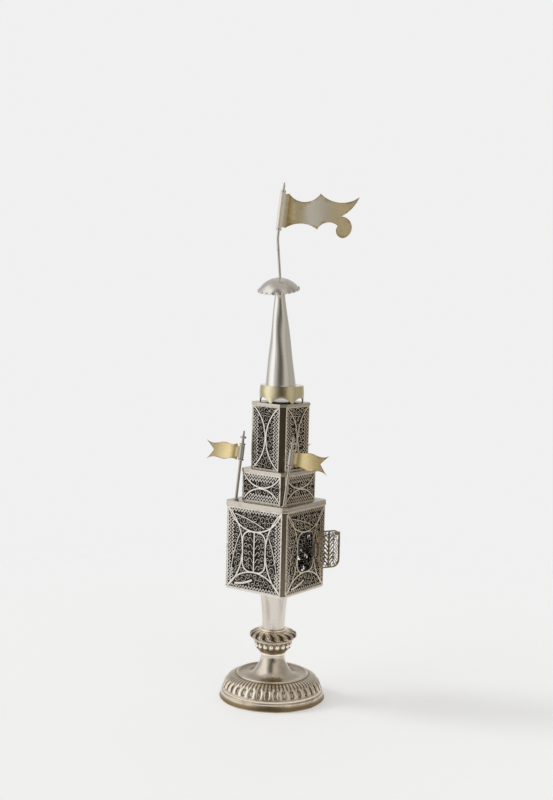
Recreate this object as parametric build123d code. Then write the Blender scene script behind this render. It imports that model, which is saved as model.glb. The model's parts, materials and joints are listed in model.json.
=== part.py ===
from build123d import *
from math import cos, hypot, pi, radians, sin
import os

# Besamim spice tower in silver filigree, in millimetres, +Z up.
# The origin is the centre of the foot's underside. The front wall faces -Y, the wall with the door +X.

# Sheet and fits
sheet = 0.7                      # wall of the raised and spun silver
running_clearance = 0.06         # radial, between a turning sleeve and its pin or a rod and its hole
press_clearance = 0.02           # radial, between a fixed pin and its hole
end_play = 0.15                  # along the pin, at each end of a turning sleeve

# Foot
foot_radius = 26.0
foot_rim_height = 4.2
foot_rim_taper = 1.3
foot_rim_wall = 1.6
gadroon_ledge = 0.3
gadroon_height = 7.5
gadroon_lobes = 36
gadroon_depth = 0.9
gadroon_sections = 6
lobe_least = 0.2                 # share of a lobe's depth that is left at its ends
lip_radius = 17.5
lip_width = 2.2
lip_height = 0.7
lip_setback = 0.4
dish_low_inset = 2.2
dish_low_drop = 1.0
dish_start_slope = 0.6
stem_foot_radius = 8.0
stem_foot_height = 3.0
stem_neck_radius = 5.8
stem_neck_height = 10.0

# Knop and upper stem
neck_ring_radius = 6.6
neck_ring_height = 1.2
knop_bowl_radius = 9.4
knop_bowl_height = 5.6
knop_bowl_lobes = 18
knop_bowl_depth = 0.9
knop_bowl_sections = 5
knop_girdle_radius = 9.9
knop_girdle_height = 1.2
knop_groove_radius = 8.9
knop_radius = 11.6
knop_widest_height = 1.5
knop_cap_height = 3.9
knop_start_slope = 0.6
stem_collar_radius = 6.5
stem_collar_height = 1.0
trumpet_foot_radius = 5.6
trumpet_top_radius = 7.7
trumpet_height = 20.2
trumpet_flare = 0.22              # how far its edge opens for each step up, at the top
ring_round = 0.45
ring_round_share = 0.4           # of a thin ring's height or width, at most
ring_seat = 1.6                  # how far a ring reaches in under or over the wall that it carries

# Threaded rod that clamps foot, knop, stem and box floor together
rod_radius = 1.25
nut_across_flats = 5.0
nut_height = 2.0
washer_thickness = 1.0
washer_place = 0.62              # share of the way along the dish line, where the washer bears
washer_clearance = 0.1
rod_tail = 1.0

# Tiers: overall side, wall height, cut-off corner, roof height
box_side = 35.6
box_wall_height = 39.9
box_corner_cut = 1.8
box_roof_height = 2.5
mid_side = 26.7
mid_wall_height = 13.9
mid_corner_cut = 1.75
mid_roof_height = 1.6
upper_side = 21.8
upper_wall_height = 30.9
upper_corner_cut = 2.4
upper_roof_height = 1.3
floor_thickness = 0.8
floor_inset = 0.5                # how far the floor's edge stays behind the walls' faces
roof_sheet = 0.7
roof_overhang = 0.3
roof_rim_width = 1.7
roof_groove = 0.35
# The tower was put together by eye: how far each part stands off the foot's axis, and its turn about it
mid_shift = 0.86
mid_twist = -3.0
upper_shift = 0.96
upper_twist = -5.0

# Filigree walls: thick ribs in front, a pierced ground of fine wire behind them
rib_thickness = 0.5
ground_thickness = 0.4
frame_width = 0.9
rib_width = 0.6
hole_radius = 0.72
hole_pitch = 2.05
corner_recess = 0.35
medallion_width = 14.0
medallion_height = 20.2
medallion_rib = 0.6
medallion_round = 4.6            # round of its corners
medallion_drop = 0.8             # how far it hangs below the wall's middle

# Oval door in the +X wall
door_gap = 0.3
door_proud = 0.15
door_rib = 0.8
door_bar_width = 0.7
door_thickness = 0.9
door_open_angle = 155.0
door_hole_columns = 4
hinge_pin_radius = 0.35
hinge_pin_head = 0.25
knuckle_radius = 0.7
knuckle_length = 1.9
hinge_setback = 0.15
hinge_strap = 0.4
catch_length = 2.6
catch_width = 1.6
catch_thickness = 0.5
catch_knob_radius = 0.55
catch_knob_height = 0.9
catch_lap = 0.6
catch_height = 7.2               # above the middle of the door

# Collar, spire and mast
collar_radius = 10.75
collar_waist = 0.3
collar_height = 8.2
collar_wall = 0.6
collar_arches = 6
collar_arch_height = 2.5
collar_arch_width = 9.6
collar_turn = -55.0
collar_shift = 1.2                # off the foot's axis, towards the leaning heading
cone_foot_radius = 7.35
cone_top_radius = 1.5
cone_height = 50.9
cone_wall = 0.5
cone_foot_shift = 0.6
cone_tip_shift = -1.05           # the cone's tip stands off to the other side, with parasol and mast
dome_radius = 9.35               # where the scallops start
dome_height = 4.7
dome_wall = 0.5
dome_scallops = 24
scallop_radius = 1.3
dome_tilt = 12.9                 # the parasol sits askew on its ball-shaped seat
dome_tilt_heading = -76.0
mast_radius = 0.65
mast_seat = 9.0                  # how deep the mast is set in the spire
mast_bend_height = 18.5          # where the mast bends, above the parasol
mast_bow = 1.6                   # how far the bend stands off the cone's tip
mast_bend_radius = 20.0
mast_collar_radius = 1.3
mast_collar_height = 1.2
mast_spike_radius = 0.6
mast_spike_height = 3.6
lean_heading = 35.0              # which way the mast and the poles lean
main_flag_lean = 5.7
main_flag_foot = 5.0             # lower end of its sleeve, along the mast from the bend
main_flag_sleeve_height = 16.6
main_flag_sleeve_wall = 0.8
main_flag_length = 36.3
main_flag_turn = 35.0
main_flag_sheet = 0.5

# Corner flags on their poles
pole_inset = 2.8                 # from the wall's face to the pole's axis
pole_radius = 0.7
pole_collar_radius = 1.45
pole_collar_height = 1.0
pole_foot_radius = 1.3
pole_foot_height = 0.8
pole_bead_height = 29.7          # heights along the pole, from the middle of its foot
pole_tip_height = 33.4
pole_tip_radius = 0.4
corner_flag_foot = 20.0
corner_flag_sleeve_height = 6.2
corner_flag_sleeve_wall = 0.5
corner_flag_length = 18.2
corner_flag_sheet = 0.4
hoist_cut = 0.5                  # how far a flag's sheet stays clear of the collars at its sleeve
# Each corner: place in X and Y as a share of the poles' reach, heading of the flag, lean of the pole,
# droop of the flag
corner_flags = {
    "front_left": (-0.93, -0.95, 195.0, 5.5, 4.7),
    "front_right": (1, -1, 20.0, 6.5, 1.5),
    "rear_left": (-1, 1, 35.0, 4.0, 5.0),
}

walls = {"front": -90.0, "door": 0.0, "rear": 90.0, "left": 180.0}
corners = {"front_right": -45.0, "rear_right": 45.0, "rear_left": 135.0, "front_left": 225.0}

# Heights of the seats, from the table up
gadroon_z = foot_rim_height
dish_z = gadroon_z + gadroon_height
neck_ring_z = dish_z + stem_neck_height
knop_bowl_z = neck_ring_z + neck_ring_height
knop_girdle_z = knop_bowl_z + knop_bowl_height
knop_cap_z = knop_girdle_z + knop_girdle_height
stem_collar_z = knop_cap_z + knop_cap_height
trumpet_z = stem_collar_z + stem_collar_height
floor_z = trumpet_z + trumpet_height
box_z = floor_z + floor_thickness
box_roof_z = box_z + box_wall_height
mid_z = box_roof_z + box_roof_height
mid_roof_z = mid_z + mid_wall_height
upper_z = mid_roof_z + mid_roof_height
upper_roof_z = upper_z + upper_wall_height
collar_z = upper_roof_z + upper_roof_height
cone_z = collar_z + collar_height
cone_tip_z = cone_z + cone_height
dome_ball = (dome_radius**2 + dome_height**2) / (2 * dome_height)
dome_inner_ball = dome_ball - dome_wall
dome_centre_z = cone_tip_z - (dome_inner_ball**2 - cone_top_radius**2) ** 0.5
dome_top_z = dome_centre_z + dome_ball
wall_thickness = rib_thickness + ground_thickness

nodes = {}


def turn(angle, shape):
    """The shape turned about the tower's axis."""
    return Rot(0, 0, angle) * shape


def aside(shift, shape):
    """The shape moved off the foot's axis, towards the heading that the mast leans to."""
    heading = radians(lean_heading)
    return Pos(shift * cos(heading), shift * sin(heading), 0) * shape


def spun(profile):
    """A solid of revolution from a closed profile in (radius, height)."""
    return revolve(Plane.XZ * profile, Axis.Z)


def spun_outline(*points):
    return spun(make_face(Polyline(*points, close=True)))


def spun_ring(inner, outer, foot, height):
    """A flat ring, rounded round its outer edge."""
    section = Pos((inner + outer) / 2, foot + height / 2) * Rectangle(outer - inner, height)
    rim = section.vertices().group_by(Axis.X)[-1]
    return spun(fillet(rim, min(ring_round, ring_round_share * min(height, outer - inner))))


def set_in(line, share, wall):
    """The point at this share of the line, set in by the wall's thickness to the line's left."""
    point = line @ share
    along = line % share
    return (point.X - wall * along.Y, point.Y + wall * along.X)


def spun_wall(line, wall, level_start=False, level_end=False, steps=10):
    """A sheet of even thickness, spun from a smooth line in (radius, height), its ends square or level."""
    inner = [set_in(line, step / steps, wall) for step in range(steps + 1)]
    if level_start:
        inner[0] = ((line @ 0).X - wall / (line % 0).Y, (line @ 0).Y)
    if level_end:
        inner[-1] = ((line @ 1).X - wall / (line % 1).Y, (line @ 1).Y)
    back = Spline(*inner)
    edges = [line, Line(line @ 1, inner[-1]), back, Line(inner[0], line @ 0)]
    return spun(make_face(edges))


def scalloped_face(radius, depth, lobes, height):
    """A flat face whose edge is a row of round lobes that meet in cusps."""
    step = 2 * pi / lobes
    edges = []
    for lobe in range(lobes):
        start, middle, end = (step * (lobe + part) for part in (0, 0.5, 1))
        cusp = radius - depth
        edges.append(
            ThreePointArc(
                (cusp * cos(start), cusp * sin(start)),
                (radius * cos(middle), radius * sin(middle)),
                (cusp * cos(end), cusp * sin(end)),
            )
        )
    return Pos(0, 0, height) * make_face(edges)


def lobed_bell(low_radius, high_radius, foot, height, lobes, depth, sections, inner):
    """A hollow quarter-round ring with lobes, deepest half way up. The spun hollow leaves its wall."""
    faces = []
    for section in range(sections):
        rise = pi / 2 * section / (sections - 1)
        swell = cos(rise) if low_radius > high_radius else 1 - sin(rise)
        radius = high_radius + (low_radius - high_radius) * swell
        climb = sin(rise) if low_radius > high_radius else 1 - cos(rise)
        lobe_depth = depth * max(sin(2 * rise), lobe_least)
        faces.append(scalloped_face(radius, lobe_depth, lobes, foot + height * climb))
    return loft(faces, ruled=True) - inner


def foot():
    top = foot_radius - foot_rim_taper
    nodes["foot_rim"] = spun_outline(
        (foot_radius - foot_rim_wall, 0),
        (foot_radius, 0),
        (top, foot_rim_height),
        (top - foot_rim_wall, foot_rim_height),
    )

    base = top - gadroon_ledge
    seat = lip_radius - lip_setback
    wall = gadroon_depth + sheet
    hollow_low = (base - wall, gadroon_z)
    hollow_high = (seat - wall, dish_z)
    centre = (hollow_high[0], gadroon_z)
    reach = hollow_low[0] - hollow_high[0]
    curve = EllipticalCenterArc(centre, reach, gadroon_height, start_angle=0, arc_size=90)
    hollow = make_face([curve, Polyline(hollow_high, (0, dish_z), (0, gadroon_z), hollow_low)])
    nodes["foot_gadroon_ring"] = lobed_bell(
        base, seat, gadroon_z, gadroon_height, gadroon_lobes, gadroon_depth, gadroon_sections, spun(hollow)
    )

    lip_inner = lip_radius - lip_width
    nodes["foot_dish"] = spun_wall(dish_line(), sheet) + spun_outline(
        (lip_inner, dish_z),
        (lip_radius, dish_z),
        (lip_radius, dish_z + lip_height),
        (lip_inner, dish_z + lip_height),
    )


def dish_line():
    """The upper side of the dish, from inside its lip down and up again to the top of the lower stem."""
    start = lip_radius - lip_width
    low = start - dish_low_inset
    lip_top = dish_z + lip_height
    return Spline(
        (start, lip_top),
        (low, lip_top - dish_low_drop),
        (stem_foot_radius, dish_z + stem_foot_height),
        (stem_neck_radius, neck_ring_z),
        tangents=((-1, -dish_start_slope), (0, 1)),
    )


def knop_and_stem():
    bore = rod_radius + running_clearance
    neck_bore = stem_neck_radius - ring_seat
    nodes["neck_ring"] = spun_ring(neck_bore, neck_ring_radius, neck_ring_z, neck_ring_height)
    bowl_foot = neck_ring_radius - ring_round
    wall = knop_bowl_depth + sheet
    hollow = spun_outline(
        (0, knop_bowl_z),
        (bowl_foot - wall, knop_bowl_z),
        (knop_bowl_radius - 2 * wall, knop_girdle_z),
        (0, knop_girdle_z),
    )
    nodes["knop_bowl"] = lobed_bell(
        bowl_foot,
        knop_bowl_radius,
        knop_bowl_z,
        knop_bowl_height,
        knop_bowl_lobes,
        knop_bowl_depth,
        knop_bowl_sections,
        hollow,
    )
    nodes["knop_girdle"] = spun_ring(bore, knop_girdle_radius, knop_girdle_z, knop_girdle_height)
    cap = Spline(
        (knop_groove_radius, knop_cap_z),
        (knop_radius, knop_cap_z + knop_widest_height),
        (stem_collar_radius, stem_collar_z),
        tangents=((1, knop_start_slope), (-1, 0)),
    )
    nodes["knop_cap"] = spun_wall(cap, sheet, level_start=True)
    nodes["stem_collar"] = spun_ring(
        trumpet_foot_radius - ring_seat, stem_collar_radius + ring_round, stem_collar_z, stem_collar_height
    )
    trumpet = Spline(
        (trumpet_foot_radius, trumpet_z),
        (trumpet_top_radius, floor_z),
        tangents=((0, 1), (trumpet_flare, 1)),
    )
    nodes["stem_trumpet"] = spun_wall(trumpet, sheet, level_end=True)


def nut(foot):
    """A plain hexagon nut with its foot at this height."""
    blank = extrude(RegularPolygon(nut_across_flats / 2, 6, major_radius=False), nut_height)
    bore = extrude(Circle(rod_radius + press_clearance), nut_height)
    return Pos(0, 0, foot) * (blank - bore)


def clamp_rod():
    bearing = set_in(dish_line(), washer_place, sheet)
    washer_z = bearing[1] - washer_thickness
    nut_z = washer_z - nut_height
    bore = rod_radius + running_clearance
    nodes["foot_washer"] = Pos(0, 0, washer_z) * extrude(
        Circle(bearing[0] - washer_clearance) - Circle(bore), washer_thickness
    )
    nodes["tie_rod_nuts"] = Compound(children=[nut(nut_z), nut(box_z)])
    rod_z = nut_z - rod_tail
    nodes["tie_rod"] = Pos(0, 0, rod_z) * extrude(Circle(rod_radius), box_z + nut_height + rod_tail - rod_z)


def cut_square(side, cut):
    """A square with its four corners cut off."""
    return chamfer(Rectangle(side, side).vertices(), cut)


def rectangle_ring(width, height, band):
    return Rectangle(width, height) - Rectangle(width - 2 * band, height - 2 * band)


def oval_round(width):
    """The round of the corners of an upright oval that lies evenly inside the medallion."""
    return medallion_round - (medallion_width - width) / 2


def oval(width, height):
    """An upright oval, straight on all sides between its round corners."""
    return RectangleRounded(width, height, oval_round(width))


def beyond_core(u, v, width, height):
    """How far a point is from the centre of the oval's nearest corner round, or 0 in its core."""
    core = oval_round(width)
    return hypot(max(abs(u) - width / 2 + core, 0), max(abs(v) - height / 2 + core, 0))


def bowed_rib(start, middle, end):
    return trace(ThreePointArc(start, middle, end), rib_width)


def ground(width, height, opening=None):
    """The pierced ground of a wall: staggered rows of round holes in one face."""
    columns = int((width - 2 * frame_width) / hole_pitch)
    rows = int((height - 2 * frame_width) / (hole_pitch * cos(radians(30))))
    row_pitch = (height - 2 * frame_width) / rows
    column_pitch = (width - 2 * frame_width) / columns
    holes = []
    for row in range(rows):
        v = (row - (rows - 1) / 2) * row_pitch
        shift = 0.5 * (row % 2)
        for column in range(columns - row % 2):
            u = (column + shift - (columns - 1) / 2) * column_pitch
            if opening is None or clear_of_oval(u, v + medallion_drop, *opening):
                holes.append(Wire.make_circle(hole_radius, Plane((u, v, 0))))
    if opening:
        holes.append((Pos(0, -medallion_drop) * oval(*opening)).wire())
    return Face(Rectangle(width, height).wire(), holes)


def clear_of_oval(u, v, width, height):
    """Whether a hole of the ground stays clear of an upright oval and its rib."""
    return beyond_core(u, v, width, height) > oval_round(width) + medallion_rib + hole_radius


def wall_panel(ribs, ground_face):
    """A filigree wall lying flat, outer face up at height 0."""
    front = Pos(0, 0, -rib_thickness) * extrude(ribs, rib_thickness)
    back = Pos(0, 0, -wall_thickness) * extrude(ground_face, ground_thickness)
    return front + back


def box_ribs(width, height, opening):
    """Frame, four bowed ribs from corner to corner and the oval medallion that they touch."""
    u, v = (width - frame_width) / 2, (height - frame_width) / 2
    near_u, near_v = (medallion_width - rib_width) / 2, (medallion_height - rib_width) / 2
    ribs = rectangle_ring(width, height, frame_width)
    for sign in (-1, 1):
        ribs += bowed_rib((-u, sign * v), (0, sign * near_v - medallion_drop), (u, sign * v))
        ribs += bowed_rib((sign * u, -v), (sign * near_u, -medallion_drop), (sign * u, v))
    middle = Pos(0, -medallion_drop)
    hole = middle * oval(medallion_width - 2 * medallion_rib, medallion_height - 2 * medallion_rib)
    ribs = ribs + middle * oval(medallion_width, medallion_height) - hole
    if not opening:
        ribs += middle * Rectangle(rib_width, medallion_height - medallion_rib)
    return ribs


def crossed_ribs(width, height, upright):
    """Frame and two bowed ribs, back to back, that touch in the middle."""
    u, v = (width - frame_width) / 2, (height - frame_width) / 2
    ribs = rectangle_ring(width, height, frame_width)
    lap = rib_width / 4
    for sign in (-1, 1):
        if upright:
            ribs += bowed_rib((sign * u, -v), (sign * lap, 0), (sign * u, v))
        else:
            ribs += bowed_rib((-u, sign * v), (0, sign * lap), (u, sign * v))
    return ribs


def stand_wall(panel, angle, side, foot, height):
    """The flat wall stood upright, facing outwards at this angle."""
    outward = Vector(cos(radians(angle)), sin(radians(angle)), 0)
    across = Vector(-outward.Y, outward.X, 0)
    place = Plane(outward * (side / 2) + Vector(0, 0, foot + height / 2), x_dir=across, z_dir=outward)
    return place.location * panel


def tier(name, side, cut, foot, height, roof_z, roof_height, plain_wall, door_wall, shift=0, twist=0):
    """Four filigree walls, the strips that close the corners between them, and the roof."""
    for wall, angle in walls.items():
        panel = door_wall if wall == "door" else plain_wall
        nodes[f"{name}_panel_{wall}"] = aside(shift, stand_wall(panel, angle + twist, side, foot, height))

    face = side / 2
    edge = face - cut
    outline = [
        (face - corner_recess, edge),
        (edge, face - corner_recess),
        (edge, face - wall_thickness),
        (face - wall_thickness, edge),
    ]
    strip = Pos(0, 0, foot) * extrude(make_face(Polyline(*outline, close=True)), height)
    for corner, angle in corners.items():
        nodes[f"{name}_corner_{corner}"] = aside(shift, turn(angle + twist - corners["rear_right"], strip))

    eaves = side + 2 * roof_overhang
    eaves_height = (roof_height - roof_sheet) / 2
    roof = extrude(cut_square(eaves, cut), eaves_height)
    groove = extrude(cut_square(side - 2 * roof_groove, cut), roof_height - roof_sheet)
    top = Pos(0, 0, roof_height - roof_sheet) * extrude(cut_square(side, cut), roof_sheet)
    hollow = extrude(cut_square(side - 2 * roof_rim_width, cut), roof_height - roof_sheet)
    nodes[f"{name}_roof"] = aside(shift, Pos(0, 0, roof_z) * turn(twist, roof + groove + top - hollow))


def tiers():
    width = box_side - 2 * box_corner_cut
    opening = (medallion_width - 2 * medallion_rib, medallion_height - 2 * medallion_rib)
    plain = wall_panel(box_ribs(width, box_wall_height, False), ground(width, box_wall_height))
    pierced = wall_panel(box_ribs(width, box_wall_height, True), ground(width, box_wall_height, opening))
    tier("box", box_side, box_corner_cut, box_z, box_wall_height, box_roof_z, box_roof_height, plain, pierced)
    for place in pole_places().values():
        nodes["box_roof"] -= place * Cylinder(pole_radius + press_clearance, 4 * box_roof_height)

    floor = cut_square(box_side - 2 * floor_inset, box_corner_cut - floor_inset)
    floor -= Circle(rod_radius + running_clearance)
    nodes["box_floor"] = Pos(0, 0, floor_z) * extrude(floor, floor_thickness)

    width = mid_side - 2 * mid_corner_cut
    plain = wall_panel(crossed_ribs(width, mid_wall_height, False), ground(width, mid_wall_height))
    tier(
        "mid",
        mid_side,
        mid_corner_cut,
        mid_z,
        mid_wall_height,
        mid_roof_z,
        mid_roof_height,
        plain,
        plain,
        mid_shift,
        mid_twist,
    )

    width = upper_side - 2 * upper_corner_cut
    plain = wall_panel(crossed_ribs(width, upper_wall_height, True), ground(width, upper_wall_height))
    tier(
        "upper",
        upper_side,
        upper_corner_cut,
        upper_z,
        upper_wall_height,
        upper_roof_z,
        upper_roof_height,
        plain,
        plain,
        upper_shift,
        upper_twist,
    )


def door():
    """The oval door, modelled shut and then swung open on its hinge to its rest place."""
    opening_width = medallion_width - 2 * medallion_rib
    opening_height = medallion_height - 2 * medallion_rib
    width, height = opening_width - 2 * door_gap, opening_height - 2 * door_gap
    middle_z = box_z + box_wall_height / 2 - medallion_drop
    face = box_side / 2 + door_proud
    hinge_x = box_side / 2 + knuckle_radius + hinge_setback
    hinge_y = opening_width / 2 + medallion_rib
    axis = Pos(hinge_x, hinge_y, middle_z)
    shut = Plane((face, 0, middle_z), x_dir=(0, 1, 0), z_dir=(1, 0, 0)).location
    swing = axis * Rot(0, 0, door_open_angle) * axis.inverse()

    leaf = oval(width, height)
    rim = leaf - oval(width - 2 * door_rib, height - 2 * door_rib)
    rim += Rectangle(door_bar_width, height - door_rib)
    holes = []
    rows = int((height - 2 * door_rib) / hole_pitch)
    for row in range(rows):
        v = (row - (rows - 1) / 2) * hole_pitch
        for column in range(door_hole_columns):
            u = (column - (door_hole_columns - 1) / 2) * (width - 2 * door_rib) / door_hole_columns
            if beyond_core(u, v, width, height) + hole_radius < oval_round(width) - door_rib / 2:
                holes.append(Wire.make_circle(hole_radius, Plane((u, v, 0))))
    back = Face(leaf.wire(), holes)
    front = Pos(0, 0, -rib_thickness) * extrude(rim, rib_thickness)
    ground_sheet = Pos(0, 0, -door_thickness) * extrude(back, door_thickness - rib_thickness)
    nodes["door_leaf"] = swing * shut * (front + ground_sheet)

    barrel = Cylinder(knuckle_radius, knuckle_length)
    strap_reach = hinge_y - width / 2 + door_rib
    strap_x = face - hinge_x + hinge_strap / 2
    strap = Pos(strap_x, -strap_reach / 2) * Box(hinge_strap, strap_reach, knuckle_length)
    running_bore = Cylinder(hinge_pin_radius + running_clearance, 2 * knuckle_length)
    nodes["door_knuckle"] = swing * axis * (barrel + strap - running_bore)

    step = knuckle_length + end_play
    foot_depth = hinge_x - box_side / 2
    lug_foot = Pos(-foot_depth / 2, 0) * Box(foot_depth, medallion_rib, knuckle_length)
    lug = barrel + lug_foot - Cylinder(hinge_pin_radius + press_clearance, 2 * knuckle_length)
    nodes["door_lugs"] = Compound(children=[axis * Pos(0, 0, sign * step) * lug for sign in (-1, 1)])

    pin_length = 3 * knuckle_length + 2 * end_play
    pin = Cylinder(hinge_pin_radius, pin_length)
    for sign in (-1, 1):
        pin += Pos(0, 0, sign * (pin_length + hinge_pin_head) / 2) * Cylinder(knuckle_radius, hinge_pin_head)
    nodes["door_pin"] = axis * pin

    core = oval_round(width)
    rise = max(catch_height - height / 2 + core, 0)
    rim_u = width / 2 - core + (core**2 - rise**2) ** 0.5
    outer_u = rim_u + door_gap + catch_lap
    tab = Pos(catch_length / 2 - outer_u, catch_height, catch_thickness / 2) * Box(
        catch_length, catch_width, catch_thickness
    )
    knob_u = catch_length / 2 - outer_u + catch_lap
    knob = Pos(knob_u, catch_height, catch_thickness + catch_knob_height / 2) * Cylinder(
        catch_knob_radius, catch_knob_height
    )
    nodes["door_catch"] = swing * shut * (tab + knob)


def collar():
    """A barrel-shaped gilt ring on arches, closed by a plate that the spire stands on."""
    low = collar_radius - collar_waist
    wall = Spline((low, collar_z), (collar_radius, collar_z + collar_height / 2), (low, cone_z))
    ring = spun_wall(wall, collar_wall)
    plate = spun_outline(
        (mast_radius + cone_wall, cone_z - collar_wall),
        (low - collar_wall / 2, cone_z - collar_wall),
        (low - collar_wall / 2, cone_z),
        (mast_radius + cone_wall, cone_z),
    )
    half = collar_arch_width / 2
    arch_radius = (half**2 + collar_arch_height**2) / (2 * collar_arch_height)
    arch = Cylinder(arch_radius, 3 * collar_radius, rotation=(0, 90, 0))
    arches = Pos(0, 0, collar_z + collar_arch_height - arch_radius) * arch
    cuts = [turn(collar_turn + 360 / collar_arches * step, arches) for step in range(collar_arches // 2)]
    nodes["collar"] = aside(collar_shift, ring + plate - cuts)


def ball_arc(ball, low, high):
    """The edge of the parasol's ball between two heights, in (radius, height)."""
    heights = (low, (low + high) / 2, high)
    return ThreePointArc(*((max(ball**2 - (z - dome_centre_z) ** 2, 0) ** 0.5, z) for z in heights))


def ball_shell(low, high):
    """A zone of the parasol's sheet, between two level cuts."""
    outer = ball_arc(dome_ball, low, high)
    inner = ball_arc(dome_inner_ball, low, min(high, dome_centre_z + dome_inner_ball))
    return spun(make_face([outer, Line(outer @ 1, inner @ 1), inner, Line(inner @ 0, outer @ 0)]))


def spire():
    bore = mast_radius + press_clearance
    foot = aside(cone_foot_shift, Pos(0, 0, cone_z))
    tip = aside(cone_tip_shift, Pos(0, 0, cone_tip_z))
    seat_foot = tip * Pos(0, 0, -mast_seat)
    body = loft([foot * Circle(cone_foot_radius), tip * Circle(cone_top_radius)])
    hollow = loft([foot * Circle(cone_foot_radius - cone_wall), seat_foot * Circle(bore)])
    nodes["spire_cone"] = body - hollow - seat_foot * Cylinder(bore, 4 * mast_seat)
    rim_z = dome_top_z - dome_height
    shell = ball_shell(rim_z, dome_top_z)
    punch = Pos(dome_radius, 0, rim_z) * Cylinder(scallop_radius, dome_radius, rotation=(0, 90, 0))
    scallop = ball_shell(rim_z - 2 * scallop_radius, rim_z) & punch
    scallops = [turn(360 / dome_scallops * step, scallop) for step in range(dome_scallops)]
    mast_hole = Pos(0, 0, dome_top_z) * Cylinder(mast_radius + press_clearance, 2 * dome_height)
    seat = Pos(0, 0, dome_centre_z)
    askew = seat * leaning(dome_tilt, dome_tilt_heading) * seat.inverse()
    nodes["spire_dome"] = aside(cone_tip_shift, askew * (shell + scallops) - mast_hole)


def leaning(angle, towards=lean_heading):
    """A turn that leans +Z towards a heading, which is that of the mast and the poles unless given."""
    return Rot(0, 0, towards) * Rot(0, angle, 0) * Rot(0, 0, -towards)


def mast_bend():
    """The place where the mast bends, leaning with its upper end."""
    return aside(cone_tip_shift - mast_bow, Pos(0, 0, dome_top_z + mast_bend_height)) * leaning(main_flag_lean)


def mast():
    finial_z = main_flag_foot + main_flag_sleeve_height + end_play
    bend_z = dome_top_z + mast_bend_height
    lean = radians(main_flag_lean)
    path = FilletPolyline(
        (cone_tip_shift, cone_tip_z - mast_seat),
        (cone_tip_shift, dome_top_z),
        (cone_tip_shift - mast_bow, bend_z),
        (cone_tip_shift - mast_bow + finial_z * sin(lean), bend_z + finial_z * cos(lean)),
        radius=mast_bend_radius,
    )
    wire = turn(lean_heading, Plane.XZ * path)
    nodes["mast"] = sweep(Plane(wire @ 0, z_dir=wire % 0) * Circle(mast_radius), wire)

    stop_z = main_flag_foot - end_play - mast_collar_height
    spike_z = finial_z + mast_collar_height
    stop = spun_ring(mast_radius + press_clearance, mast_collar_radius, stop_z, mast_collar_height)
    finial = spun_ring(0, mast_collar_radius, finial_z, mast_collar_height)
    finial += spun_outline(
        (0, finial_z + mast_collar_height / 2),
        (mast_spike_radius, finial_z + mast_collar_height / 2),
        (mast_spike_radius, spike_z + mast_spike_height / 2),
        (mast_spike_radius / 2, spike_z + mast_spike_height),
        (0, spike_z + mast_spike_height),
    )
    nodes["mast_stop"] = mast_bend() * stop
    nodes["mast_finial"] = mast_bend() * finial


def blade(stretches, length, height, thickness, root, shoulder):
    """A flag's flat sheet, out from its sleeve along +X. A stretch of three points is an arc, a longer one a
    spline. Inside the shoulder the sheet is cut back, clear of the collars above and below the sleeve."""
    edges = []
    for stretch in stretches:
        points = [(share_x * length, share_z * height) for share_x, share_z in stretch]
        edges.append(ThreePointArc(*points) if len(points) == 3 else Spline(*points))
    first, last = edges[0] @ 0, edges[-1] @ 1
    low, high = hoist_cut, height - hoist_cut
    edges.append(Polyline(last, (shoulder, low), (root, low), (root, high), (shoulder, high), first))
    return extrude(Plane.XZ * make_face(edges), thickness / 2, both=True)


def flag(stretches, length, height, thickness, pin_radius, sleeve_wall, collar, droop=0):
    """A sheet flag with its rolled sleeve, standing on height 0 with the pin's axis at the origin."""
    inner = pin_radius + running_clearance
    middle = Pos(0, 0, height / 2)
    cloth = blade(stretches, length, height, thickness, inner + sleeve_wall / 2, collar + hoist_cut)
    drooped = middle * Rot(0, droop, 0) * middle.inverse() * cloth
    roll = extrude(Circle(inner + sleeve_wall), height)
    bore = extrude(Circle(inner), height)
    return drooped + roll - bore


def main_flag():
    # Outline in shares of the flag's length and of its sleeve's height, from the hoist round the fly and back
    crest, tip, notch = (0.488, 1.108), (1.0, 1.15), (0.788, 0.536)
    curl_end, curl_root, point = (0.851, -0.066), (0.763, 0.26), (0.499, 0.087)
    outline = [
        ((0.08, 1.0), (0.3, 0.82), crest),
        (crest, (0.72, 0.92), tip),
        (tip, (0.895, 0.735), notch),
        (notch, (0.948, 0.19), curl_end),
        (curl_end, (0.747, 0.099), curl_root),
        (curl_root, (0.69, 0.325), point),
        (point, (0.25, 0.19), (0.085, 0.02)),
    ]
    pennant = flag(
        outline,
        main_flag_length,
        main_flag_sleeve_height,
        main_flag_sheet,
        mast_radius,
        main_flag_sleeve_wall,
        mast_collar_radius,
    )
    nodes["main_flag"] = mast_bend() * Pos(0, 0, main_flag_foot) * turn(main_flag_turn, pennant)


def pole_places():
    """Where the corner poles stand on the lower roof."""
    reach = box_side / 2 - pole_inset
    return {corner: Pos(x * reach, y * reach, mid_z) for corner, (x, y, *_) in corner_flags.items()}


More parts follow.
